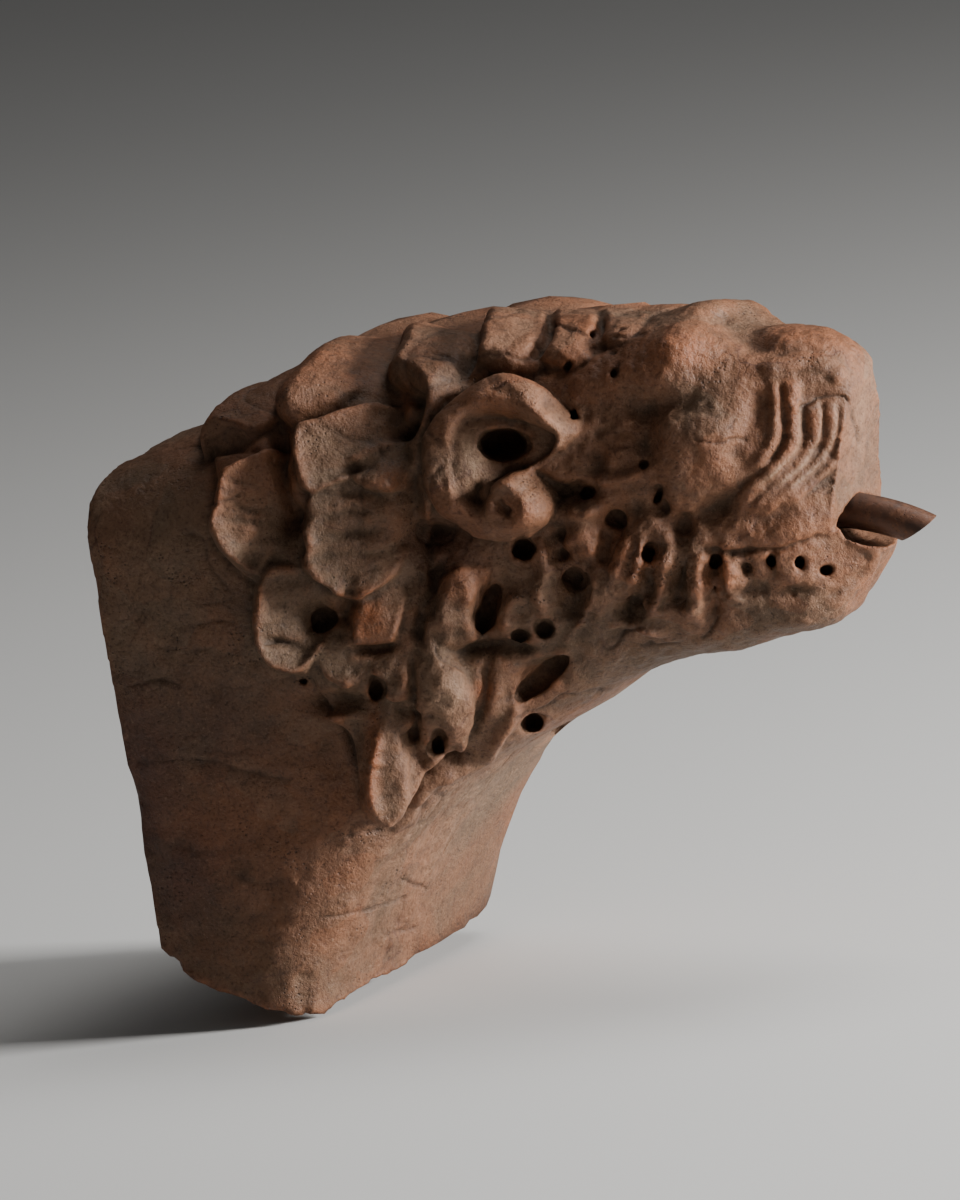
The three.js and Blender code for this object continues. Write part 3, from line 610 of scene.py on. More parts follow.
plainDrills = {(165, 150), (176, 87), (252, 83), (324, 80), (341, 78.5)}  # these are on the far side too

# A drilled hole leans a little to the skin, widens at its mouth and has an uneven wall.
drillShape = {
    "stand": 900, "lean": 0.08, "flare": 0.4, "flareWidth": 4.5, "sides": 40,
    "above": 28, "ragged": 0.2, "raggedWidth": 7, "lumps": 11,
}


def drillTool(tree, hole):
    au, av, halfWidth, halfHeight, tilt, depth = hole
    eye = axisU * au + axisV * av + axisOut * drillShape["stand"]
    place, normal, _, _ = tree.ray_cast(Vector(eye * mm), Vector(-axisOut))
    way = Vector(axisOut) * (1 - drillShape["lean"]) + normal * drillShape["lean"]
    way.normalize()
    a = math.radians(tilt)
    side = Vector(axisU * math.cos(a) + axisV * math.sin(a))
    side = (side - way * side.dot(way)).normalized()
    up = way.cross(side)
    mouth = 1 + drillShape["flare"] * min(1, drillShape["flareWidth"] / halfWidth)
    ragged = drillShape["ragged"] * min(1, drillShape["raggedWidth"] / halfWidth)
    angle = np.linspace(0, 2 * math.pi, drillShape["sides"], endpoint=False)
    profile = [(-drillShape["above"], mouth), (-1, mouth), (1.5, 0.5 + mouth / 2), (4, 1),
               (depth * 0.7, 0.84), (depth * 0.9, 0.6), (depth, 0.25)]  # drop and share of the width
    rings = []
    for drop, share in profile:
        across = np.outer(np.cos(angle) * halfWidth * share, side)
        ring = across + np.outer(np.sin(angle) * halfHeight * share, up)
        centre = np.array(place) / mm - np.array(way) * drop
        ring *= 1 + ragged * lumps(ring + centre, drillShape["lumps"], 51, 2)[:, None]
        rings.append(ring + centre)
    return np.array(rings)


# What is broken, cut or opened: the break under the neck, the nose front, the mouth, the chips.
cuts = {
    "breakBack": -129, "breakDip": 0.47, "breakTilt": 0.1, "breakFoot": -700,
    "breakX": (-60, 420), "breakY": (-220, 221), "breakStep": 3,
    "breakLumps": (70, 30, 9), "breakHeights": (5.5, 3, 0.5),  # swells, ridges and grain
    "noseX": 444, "noseZ": 90, "noseLean": 12, "boxSize": 900,
    "mouthAt": (473, 0, 91), "mouthHalf": (40, 37, 18),
    "ballSides": 72, "ballRings": 48, "ballSpan": 100, "ballLumps": 40, "chipRough": 0.08,
    "chips": [  # middle and radius
        (123, -150, -167, 48), (-6, -137, -150, 22), (40, -140, -172, 16), (168, -118, -150, 16),
        (-6, 136, -118, 18),
    ],
}


def cutterBox(name, matrix):
    half = cuts["boxSize"] / 2
    corners = np.array([(x, y, z) for x in (0, half * 2) for y in (-half, half) for z in (-half, half)])
    turned = corners @ np.array(matrix.to_3x3()).T + np.array(matrix.translation)
    faces = [(0, 1, 3, 2), (4, 6, 7, 5), (0, 4, 5, 1), (2, 3, 7, 6), (0, 2, 6, 4), (1, 5, 7, 3)]
    mesh = bpy.data.meshes.new(name)
    mesh.from_pydata((turned * mm).tolist(), [], faces)
    return addObject(name, mesh)


def cutterBall(name, centre, half, rough=0, seed=1):
    angle = np.linspace(0, 2 * math.pi, cuts["ballSides"], endpoint=False)
    rings = []
    for tilt in np.linspace(-math.pi / 2, math.pi / 2, cuts["ballRings"])[1:-1]:
        rings.append(np.column_stack([np.cos(angle) * math.cos(tilt), np.sin(angle) * math.cos(tilt),
                                      np.full(len(angle), math.sin(tilt))]))
    rings = np.array(rings)
    shape = rings.reshape(-1, 3)
    grown = 1 + rough * lumps(shape * cuts["ballSpan"], cuts["ballLumps"], seed)[:, None]
    return meshFromGrids(name, [(shape * grown * np.array(half) + np.array(centre)).reshape(rings.shape)])


def breakSlab():
    # a slab whose rough upper face is the break
    spans = (np.arange(*cuts[key], cuts["breakStep"]) for key in ("breakX", "breakY"))
    x, y = np.meshgrid(*spans, indexing="ij")
    flat = np.column_stack([x.ravel(), y.ravel(), np.zeros(x.size)])
    swells, ridges, grain = (lumps(flat, size, seed) for size, seed in zip(cuts["breakLumps"], (3, 5, 8)))
    swellHeight, ridgeHeight, grainHeight = cuts["breakHeights"]
    rough = swells * swellHeight + np.abs(ridges) * ridgeHeight + grain * grainHeight
    top = cuts["breakBack"] - cuts["breakDip"] * flat[:, 0] + cuts["breakTilt"] * flat[:, 1] + rough
    rows, columns = x.shape
    upper = np.column_stack([flat[:, :2], top]).reshape(rows, columns, 3)
    lower = upper.copy()
    lower[..., 2] = cuts["breakFoot"]
    grid = np.concatenate([upper, lower[:, ::-1]], axis=1)
    return meshFromGrids("break", [grid])


def applied(piece):
    # the mesh with its modifiers worked in
    depsgraph = bpy.context.evaluated_depsgraph_get()
    mesh = bpy.data.meshes.new_from_object(piece.evaluated_get(depsgraph))
    piece.modifiers.clear()
    old = piece.data
    piece.data = mesh
    bpy.data.meshes.remove(old)


def cutAway(piece, tools):
    for tool in tools:
        cut = piece.modifiers.new(tool.name, "BOOLEAN")
        cut.operation = "DIFFERENCE"
        cut.solver = "MANIFOLD"
        cut.object = tool
    applied(piece)
    for tool in tools:
        bpy.data.objects.remove(tool)


# Iron bar in the mouth: radius, then root, bend and end as x and z.
bar = {
    "radius": 11, "root": (388, 99), "bend": (462, 100), "end": (500, 75), "rings": 120, "sides": 64,
    "cut": (410, 98.5), "slant": -52, "cutLean": 0.12, "cutOut": 250,  # the cut is placed on the layout
    "socketGap": 0.4, "socketDeeper": 3, "socketRings": 24, "socketSides": 40,
}


def barLine(count, extra=0):
    t = np.linspace(0, 1, count)[:, None]
    root, bend, end = (np.array(bar[key], float) for key in ("root", "bend", "end"))
    root = root - [extra, 0]
    line = root * (1 - t) ** 2 + bend * 2 * t * (1 - t) + end * t ** 2
    way = (bend - root) * (1 - t) + (end - bend) * t
    return line, way / np.linalg.norm(way, axis=1)[:, None]


def barGrid(radius, count, sides, extra=0):
    line, way = barLine(count, extra)
    angle = np.linspace(0, 2 * math.pi, sides, endpoint=False)
    grid = np.empty((count, sides, 3))
    grid[..., 0] = line[:, :1] - way[:, 1:] * np.cos(angle) * radius
    grid[..., 1] = -np.sin(angle) * radius
    grid[..., 2] = line[:, 1:] + way[:, :1] * np.cos(angle) * radius
    return grid


# Skin of the stone: evened out, made crisper, roughened, painted with masks and thinned out.
stone = {
    "voxel": 1.3, "smoothing": 4, "softness": 0.5,
    "crisp": [(12, 0.8), (60, 0.5)],  # rounds of blur, and how much more the carving stands out from it
    "crispFrom": (0.6, 8), "fineFrom": (0.6, 5),  # both fade in off the wall face
    "standing": (0.5, 2.8, 5), "valleyDirtAndShade": 0.35, "ridgeShare": 0.8,
    "triangles": 190000, "thinning": 1.0, "thinLevels": 10,
    "plainFar": 1.0, "plainNear": 0.35, "plainNeck": 0.7, "plainFace": 0.3, "neckU": 60, "faceU": 230,
}


def carvedBlock():
    piece = meshFromGrids("lionStone", [blockGrid()])
    points, normals = readMesh(piece.data)
    heights = reliefHeights(points, normals)
    writePoints(piece.data, points + normals * heights[:, None])
    print("block carved:", len(points), "points")
    return piece


def cutBlock(piece):
    tree = BVHTree.FromObject(piece, bpy.context.evaluated_depsgraph_get())
    bits = []
    for hole in drills:
        bit = drillTool(tree, hole)
        bits.append(bit)
        if hole[:2] in plainDrills:
            bits.append(bit * [1, -1, 1])
    tools = [meshFromGrids("drills", bits)]
    tools.append(cutterBox("wall", Matrix.Rotation(math.pi, 4, "Z")))
    lean = Matrix.Translation((cuts["noseX"], 0, cuts["noseZ"])) @ Matrix.Rotation(
        math.radians(cuts["noseLean"]), 4, "Y") @ Matrix.Translation((0, 0, cuts["boxSize"] / 2))
    tools.append(cutterBox("nose", lean))
    tools.append(cutterBall("mouth", cuts["mouthAt"], cuts["mouthHalf"]))
    for i, (*at, radius) in enumerate(cuts["chips"]):
        tools.append(cutterBall("chip" + str(i), at, (radius,) * 3, cuts["chipRough"], 60 + i))
    tools.append(breakSlab())
    socketRadius = bar["radius"] + bar["socketGap"]
    socket = barGrid(socketRadius, bar["socketRings"], bar["socketSides"], bar["socketDeeper"])
    tools.append(meshFromGrids("socket", [socket]))
    cutAway(piece, tools)
    print("holes, mouth and breaks cut:", len(piece.data.vertices), "points")


def addSoftening(piece, rounds):
    soften = piece.modifiers.new("soften", "SMOOTH")
    soften.factor = stone["softness"]
    soften.iterations = rounds


def evenSkin(piece):
    remesh = piece.modifiers.new("remesh", "REMESH")
    remesh.mode = "VOXEL"
    remesh.voxel_size = stone["voxel"] * mm
    addSoftening(piece, stone["smoothing"])
    applied(piece)
    print("skin evened:", len(piece.data.vertices), "points")


# Fissures: half width, depth, line.
fissureShape = {"wobble": 1.4, "wobbleSize": 7, "ends": 0.1, "markDepth": 1.6}
fissures = [
    (1, 1.26, [(120, 205), (128, 203), (138, 200)]), (1, 1.12, [(146, 202), (160, 204), (180, 200)]),
    (1, 1.26, [(194, 223), (205, 218), (215, 214)]), (1, 0.98, [(156, 184), (161, 184), (166, 187)]),
    (1, 1.4, [(340, 171), (348, 175), (352, 178), (360, 177), (366, 177), (371, 170)]),
    (1, 1.12, [(276, 154), (284, 151), (292, 150), (300, 152), (310, 150)]),
    (1, 1.26, [(224, 26), (232, 30), (236, 37), (243, 40), (251, 40)]),
    (1, 1.26, [(246, 31), (258, 30), (272, 31)]), (1, 1.4, [(281, 33), (287, 37), (292, 47)]),
    (1, 1.26, [(167, -17), (178, -11), (190, -8), (200, 0), (215, 1), (231, 2)]),
    (1, 0.8, [(-20, 42), (-10, 44), (5, 43)]), (1, 1.12, [(-14, -42), (-4, -44), (6, -48)]),
    (1, 1.12, [(14, -45), (26, -49), (38, -52)]), (1, 1.12, [(-22, -34), (0, -36), (10, -34)]),
    (1, 1.26, [(100, -112), (112, -118), (128, -121), (146, -116)]),
    (1, 1.12, [(64, -90), (76, -84), (92, -82)]),
    (1, 1.05, [(372, 172), (374, 160), (377, 151), (382, 150)]),
    (1, 1.05, [(229, 213), (238, 214), (250, 216)]), (1, 1.05, [(20, 31), (30, 32), (38, 30)]),
    (1, 1.05, [(-14, 114), (-4, 116), (8, 121)]), (1, 1.05, [(122, 28), (132, 18), (142, 14)]),
    (0.9, 1.2, [(44, -138), (64, -134), (85, -131), (109, -123)]),
    (1, 1.4, [(-62, -43), (-44, -41), (-24, -40), (8, -46), (41, -55)]),
    (1, 1.2, [(96, -146), (108, -146), (118, -141)]), (1, 0.7, [(-50, 30), (-30, 26), (-8, 29)]),
    (1, 0.8, [(-66, 4), (-46, 8), (-28, 5)]), (1, 1.2, [(-40, -92), (-18, -96), (4, -92)]),
    (1, 1.2, [(2, -112), (18, -116), (34, -112)]), (1, 0.98, [(300, 222), (296, 227), (288, 230)]),
]

# Roughness of the skin: size of the lumps, seed, layers, height. Then natural seams in the stone.
skinRough = [(18, 11, 3, 0.9), (6, 17, 2, 0.42), (2.8, 19, 1, 0.16)]
skinSeams = {"size": 46, "sharp": 7, "patch": 60, "patchSpan": (-0.1, 0.5), "depth": 0.9, "mark": 0.6}
skinShare = {"least": 0.45, "far": 0.3}  # of the roughness, and of seams and fissures on the far side

# Tool marks on the neck, drawn out along it.
neckTooling = {
    "stretch": np.array([0.35, 0.6, 1.3]), "size": 6, "height": 0.45,
    "below": (40, -10), "behind": (260, 160),
}

# Worn and eroded areas: middle, half sizes, extra roughness, size of its lumps.
eroded = [
    (222, 153, 26, 30, 3.4, 13), (236, 66, 84, 38, 2, 9), (127, 137, 8, 13, 1.8, 7),
    (320, 62, 34, 14, 1.4, 9), (116, -20, 26, 26, 2.4, 10), (70, 8, 24, 14, 1.3, 11),
    (48, 86, 8, 22, 1.5, 8), (226, 196, 24, 18, 2, 8),
]


def smoothed(piece, rounds):
    copy = addObject("smooth", piece.data)
    addSoftening(copy, rounds)
    mesh = bpy.data.meshes.new_from_object(copy.evaluated_get(bpy.context.evaluated_depsgraph_get()))
    points, _ = readMesh(mesh)
    bpy.data.objects.remove(copy)
    bpy.data.meshes.remove(mesh)
    return points


def crisper(piece):
    # the carving stands out more from its own blurred shape; gives back how far each point stands proud
    points, normals = readMesh(piece.data)
    moved = points.copy()
    proud = []
    off = smoothStep(*stone["crispFrom"], points[:, :1])
    for rounds, share in stone["crisp"]:
        away = points - smoothed(piece, rounds)
        proud.append(np.sum(away * normals, axis=1))
        moved += share * away * off
    writePoints(piece.data, moved)
    return proud


def foldLines(u, v):
    # the grooves beside the folds of the snarl, and the painted highlight lines along them, from 0 to 1
    valleys, paintedHighlights = np.zeros(len(u)), np.zeros(len(u))
    grooves = [smoothLine(places) for places in foldGrooves["lines"]]
    highlightLines = [line + np.array(foldGrooves["highlightShift"]) for line in grooves[1:]]
    for found, lines, halfWidth in ((valleys, grooves, foldGrooves["halfWidth"]),
                                    (paintedHighlights, highlightLines, foldGrooves["highlightWidth"])):
        for line in lines:
            here = nearby(line, u, v, 4)
            away, place = lineDistance(line, u[here], v[here])
            ends = taper(place, *foldGrooves["ends"])
            found[here] = np.maximum(found[here], ends * np.exp(-(away / halfWidth) ** 2))
    return valleys, paintedHighlights


def fineHeights(points, normals):
    far = points[:, 1] > 0
    heights = np.zeros(len(points))
    for size, seed, layers, height in skinRough:
        heights += lumps(points, size, seed, layers) * height
    seams = np.maximum(1 - np.abs(lumps(points, skinSeams["size"], 31, 2)) * skinSeams["sharp"], 0) ** 2
    seams *= smoothStep(*skinSeams["patchSpan"], lattice(points, skinSeams["patch"], 37))
    tooled = smoothStep(*neckTooling["below"], points[:, 2])
    tooled *= smoothStep(*neckTooling["behind"], points[:, 0])
    strokes = lumps(points * neckTooling["stretch"], neckTooling["size"], 27, 2)
    heights += tooled * strokes * neckTooling["height"]
    points, normals = mirrored(points, normals)
    u, v = points @ axisU, points @ axisV
    for i, lock in enumerate(maneLocks):
        line = smoothLine(lock["outline"], closed=True)
        here, away = within(line, u, v)
        forth, aside = lockPlace(lock, line, u[here], v[here])
        across, along = aside / (1 + lockRibs["fan"] * forth), forth * lockRibs["stretch"]
        grain = np.column_stack([across, along, np.full(len(here), i * lockRibs["apart"])])
        ribs = lock["ribHeight"] * lumps(grain, lock["rib"], 23, 2)
        heights[here] += ribs * smoothStep(*lockRibs["inside"], away)
    for au, av, long, wide, rough, size in eroded:
        share = np.exp(-((u - au) / long) ** 2 - ((v - av) / wide) ** 2)
        here = np.nonzero(share > 0.02)[0]
        heights[here] += rough * share[here] * lumps(points[here], size, 41, 3)
    cracks = np.zeros(len(points))
    wobble = lattice(points, fissureShape["wobbleSize"], 43) * fissureShape["wobble"]
    for halfWidth, depth, places in fissures:
        line = smoothLine(places, steps=4)
        here = nearby(line, u, v, 6)
        away, place = lineDistance(line, u[here] + wobble[here], v[here] + wobble[here])
        ends = taper(place, fissureShape["ends"], fissureShape["ends"])
        cracks[here] = np.maximum(cracks[here], depth * ends * np.exp(-(away / halfWidth) ** 2))
    valleys, paintedHighlights = foldLines(u, v)
    facing = smoothStep(*relief["facing"], normals @ axisOut)
    shown = np.where(far, skinShare["far"], 1) * facing
    heights *= skinShare["least"] + (1 - skinShare["least"]) * shown
    heights -= (seams * skinSeams["depth"] + cracks) * shown
    heights -= foldGrooves["depth"] * valleys * facing
    seam = np.clip(seams * skinSeams["mark"] + cracks / fissureShape["markDepth"], 0, 1) * shown
    return heights, {"seam": seam, "valley": valleys * facing, "paintedHighlight": paintedHighlights * facing}


# Colour areas on the layout: middle, half sizes, strength.
# polished high points, together with painted highlights on the lit brow, fold crests, lock rims and tufts
polishAndHighlighted = [
    (268, 204, 30, 15, 0.9), (335, 165, 7, 28, 0.9), (350, 160, 22, 26, 0.5), (345, 214, 36, 10, 0.5),
    (160, 174, 26, 9, 0.7), (78, 191, 18, 6, 0.6), (106, 178, 6, 12, 0.8), (36, 145, 4, 24, 0.7),
    (84, 46, 12, 18, 1), (87, -30, 5, 26, 0.9), (84, -58, 4, 16, 0.8), (152, 3, 6, 5, 1),
    (208, 223, 16, 7, 0.5), (60, 203, 24, 10, 0.5), (-8, 124, 5, 16, 0.7), (172, 112, 8, 14, 0.5),
    (288, 230, 26, 8, 0.4), (325, 100, 34, 16, 0.4), (292, 70, 14, 18, 0.6), (240, 86, 30, 16, 0.5),
    (100, 132, 12, 8, 0.4), (370, 75, 20, 14, 0.5), (140, 70, 16, 10, 0.5), (118, 208, 16, 8, 0.4),
    (160, 222, 16, 8, 0.4),
]
# a dark reddish stain low on the neck, made darker there as painted shade, and painted shadow under the
# ear
shadeAndStained = [
    (-58, -58, 30, 56, 1), (-30, -110, 30, 40, 0.7), (-10, -20, 40, 40, 0.4), (130, 90, 24, 14, 0.5),
]
# pale patches in the stone, and painted light on the lit floor of the ear and the lit front of the nose
paleAndLit = [
    (131, 3, 15, 18, 1), (146, 140, 12, 22, 1), (30, 24, 14, 6, 0.5), (160, -80, 50, 60, 0.6),
    (380, 160, 10, 34, 0.5), (-58, 160, 30, 10, 0.8), (-30, 90, 46, 50, 0.3), (-80, 120, 8, 30, 0.6),
    (56, 150, 16, 14, 0.35),
]


def areaMask(areas, u, v):
    mask = np.zeros(len(u))
    for au, av, wide, tall, strength in areas:
        mask = np.maximum(mask, strength * np.exp(-((u - au) / wide) ** 2 - ((v - av) / tall) ** 2))
    return mask


def paintMask(mesh, name, channels):
    layer = mesh.attributes.new(name, "FLOAT_COLOR", "POINT")
    colours = np.ones((len(mesh.vertices), 4), np.float32)
    for i, channel in enumerate(channels):
        colours[:, i] = np.clip(channel, 0, 1)
    layer.data.foreach_set("color", colours.ravel())


def thinOut(piece, plain):
    # fewer triangles, the most of them left where the carving is finest
    levels = np.round(plain * stone["thinLevels"]).astype(int)
    group = piece.vertex_groups.new(name="plain")
    for level in np.unique(levels):
        group.add(np.nonzero(levels == level)[0].tolist(), level / stone["thinLevels"], "REPLACE")
    thin = piece.modifiers.new("thin", "DECIMATE")
    thin.vertex_group = group.name
    thin.vertex_group_factor = stone["thinning"]
    thin.use_collapse_triangulate = True
    thin.ratio = min(1, stone["triangles"] / (len(piece.data.polygons) * 2))
    applied(piece)
    piece.vertex_groups.clear()


def finishSkin(piece, proud):
    points, normals = readMesh(piece.data)
    heights, marks = fineHeights(points, normals)
    heights *= smoothStep(*stone["fineFrom"], points[:, 0])
    writePoints(piece.data, points + normals * heights[:, None])
    standing = sum(height / full for height, full in zip((*proud, heights), stone["standing"]))
    # hollows and fold valleys get a mask for painted shade mixed with dirt
    hollow = np.maximum(-standing, marks["valley"] * stone["valleyDirtAndShade"])
    # the ridge channel marks wear on high points, which the material also paints as highlight
    paintMask(piece.data, "form", [hollow, np.maximum(standing, 0) * stone["ridgeShare"], marks["seam"]])
    plain = np.where(points[:, 1] > 0, stone["plainFar"], stone["plainNear"])
    points, normals = mirrored(points, normals)
    u, v = points @ axisU, points @ axisV
    polishAndHighlight, shadeAndStain, pale = (areaMask(areas, u, v) for areas in (polishAndHighlighted, shadeAndStained, paleAndLit))
    # the third channel holds the pale areas and the painted highlight lines on the fold crests
    paintMask(piece.data, "areas", [polishAndHighlight, shadeAndStain, np.maximum(pale, marks["paintedHighlight"])])
    facePlain = np.where(u > stone["faceU"], plain * stone["plainFace"], plain)
    neck = (v < 0) & (u < stone["neckU"])
    thinOut(piece, np.where(neck, np.maximum(plain, stone["plainNeck"]), facePlain))
    piece.data.shade_smooth()
    print("stone finished:", sum(len(face.vertices) - 2 for face in piece.data.polygons), "triangles")


def addNode(tree, kind, values=None, **settings):
    made = tree.nodes.new(kind)
    for key, value in settings.items():
        setattr(made, key, value)
    for key, value in (values or {}).items():
        if isinstance(value, bpy.types.NodeSocket):
            tree.links.new(value, made.inputs[key])
        else:
            made.inputs[key].default_value = value
    return made


def mixColours(tree, share, first, second, blend="MIX"):
    values = {0: share, 6: first, 7: second}  # the sockets of a colour mix
    return addNode(tree, "ShaderNodeMix", values, data_type="RGBA", blend_type=blend).outputs[2]


def spread(tree, value, low, high, toLow=0.0, toHigh=1.0):
    made = addNode(tree, "ShaderNodeMapRange", {0: value, 1: low, 2: high, 3: toLow, 4: toHigh},
                   interpolation_type="SMOOTHSTEP")
    return made.outputs[0]


def sums(tree, operation, first, second):
    made = addNode(tree, "ShaderNodeMath", {0: first, 1: second}, operation=operation, use_clamp=True)
    return made.outputs[0]


def times(tree, first, second):
    return sums(tree, "MULTIPLY", first, second)


def noise(tree, vector, scale, detail=4.0, rough=0.55, twist=0.0):
    made = addNode(tree, "ShaderNodeTexNoise", {"Vector": vector, "Scale": scale, "Detail": detail,
                                                "Roughness": rough, "Distortion": twist})
    return made.outputs["Fac"]


def newGroup(name, inputs, outputs):
    group = bpy.data.node_groups.new(name, "ShaderNodeTree")
    for label, kind in inputs:
        group.interface.new_socket(label, in_out="INPUT", socket_type="NodeSocket" + kind)
    for label, kind in outputs:
        group.interface.new_socket(label, in_out="OUTPUT", socket_type="NodeSocket" + kind)
    return group, group.nodes.new("NodeGroupInput").outputs, group.nodes.new("NodeGroupOutput").inputs


def pittingGroup():
    # small pits in patches: a mask, and a height for bump
    inputs = [("Vector", "Vector"), ("Scale", "Float"), ("Amount", "Float")]
    group, given, result = newGroup("pitting", inputs, [("Pits", "Float"), ("Height", "Float")])
    cells = addNode(group, "ShaderNodeTexVoronoi", {"Vector": given["Vector"], "Scale": given["Scale"]})
    patch = noise(group, given["Vector"], 34.0, 3.0)
    reach = times(group, spread(group, patch, 0.42, 0.72, 0.0, 0.42), given["Amount"])
    pits = spread(group, cells.outputs["Distance"], 0.0, reach, 1.0, 0.0)
    group.links.new(pits, result["Pits"])
    group.links.new(sums(group, "SUBTRACT", 1.0, pits), result["Height"])
    return group


def dirtAndShadeGroup():
    # painted shade with dirt in the hollows, varied in cloudy patches, and a thin film of dirt where the
    # cloud is dense
    inputs = [("Colour", "Color"), ("DirtAndShade", "Color"), ("Vector", "Vector"), ("Hollow", "Float"),
              ("Amount", "Float")]
    group, given, result = newGroup("dirtAndShade", inputs, [("Colour", "Color"), ("Mask", "Float")])
    cloud = noise(group, given["Vector"], 42.0, 6.0, 0.62)
    shadeAndDirt = times(group, given["Hollow"], spread(group, cloud, 0.25, 0.6, 0.55, 1.0))
    film = spread(group, cloud, 0.5, 0.75, 0.0, 0.35)
    mask = times(group, sums(group, "ADD", shadeAndDirt, film), given["Amount"])
    group.links.new(mixColours(group, mask, given["Colour"], given["DirtAndShade"]), result["Colour"])
    group.links.new(mask, result["Mask"])
    return group


def placePitting(tree, pitting, place, finish):
    values = {"Vector": place, "Scale": finish["pitScale"], "Amount": finish["pitAmount"]}
    return addNode(tree, "ShaderNodeGroup", values, node_tree=pitting).outputs


def placeDirtAndShade(tree, dirtAndShade, colour, place, hollow, finish):
    values = {"Colour": colour, "DirtAndShade": finish["dirtAndShade"], "Vector": place, "Hollow": hollow,
              "Amount": finish["dirtAndShadeAmount"]}
    return addNode(tree, "ShaderNodeGroup", values, node_tree=dirtAndShade).outputs


def addBump(tree, shader, height, finish):
    bump = addNode(tree, "ShaderNodeBump", {"Height": height, "Strength": finish["bumpStrength"],
                                            "Distance": finish["bumpHeight"]})
    tree.links.new(bump.outputs["Normal"], shader.inputs["Normal"])


def maskChannels(tree, name):
    layer = addNode(tree, "ShaderNodeAttribute", attribute_name=name)
    return addNode(tree, "ShaderNodeSeparateColor", {0: layer.outputs["Color"]}).outputs


# Red nodular marble under an old patina.
marble = {
    "rose": (0.2, 0.084, 0.039, 1), "grey": (0.132, 0.076, 0.042, 1), "clay": (0.08, 0.028, 0.016, 1),
    "orange": (0.31, 0.092, 0.028, 1), "pale": (0.27, 0.172, 0.108, 1), "shadeAndStain": (0.075, 0.033, 0.027, 1),
    "dirtAndShade": (0.045, 0.026, 0.013, 1), "dark": (0.02, 0.011, 0.007, 1),
    "fineShade": (0.5, 0.42, 0.36, 1), "grainShade": (0.42, 0.34, 0.28, 1),
    "warpScale": 16.0, "warp": 0.06, "noduleScale": 30.0, "cloudScale": 9.0, "fineScale": 130.0,
    "grainScale": 420.0, "speckScale": 1100.0, "veinScale": 22.0, "coarseScale": 55.0, "pitScale": 330.0,
    "pitAmount": 1.0, "dirtAndShadeAmount": 0.75, "ridgeWearAndHighlight": 0.55, "vein": 0.6, "crack": 0.7,
    "pits": 0.75, "crackDark": 0.8, "wornGloss": 0.16, "dirtAndShadeRough": 0.2,
    "coarseHeight": 0.44, "grainHeight": 0.22, "crackHeight": 0.16, "pitHeight": 0.14,
    "bumpStrength": 0.85, "bumpHeight": 0.006, "specular": 0.4,
}


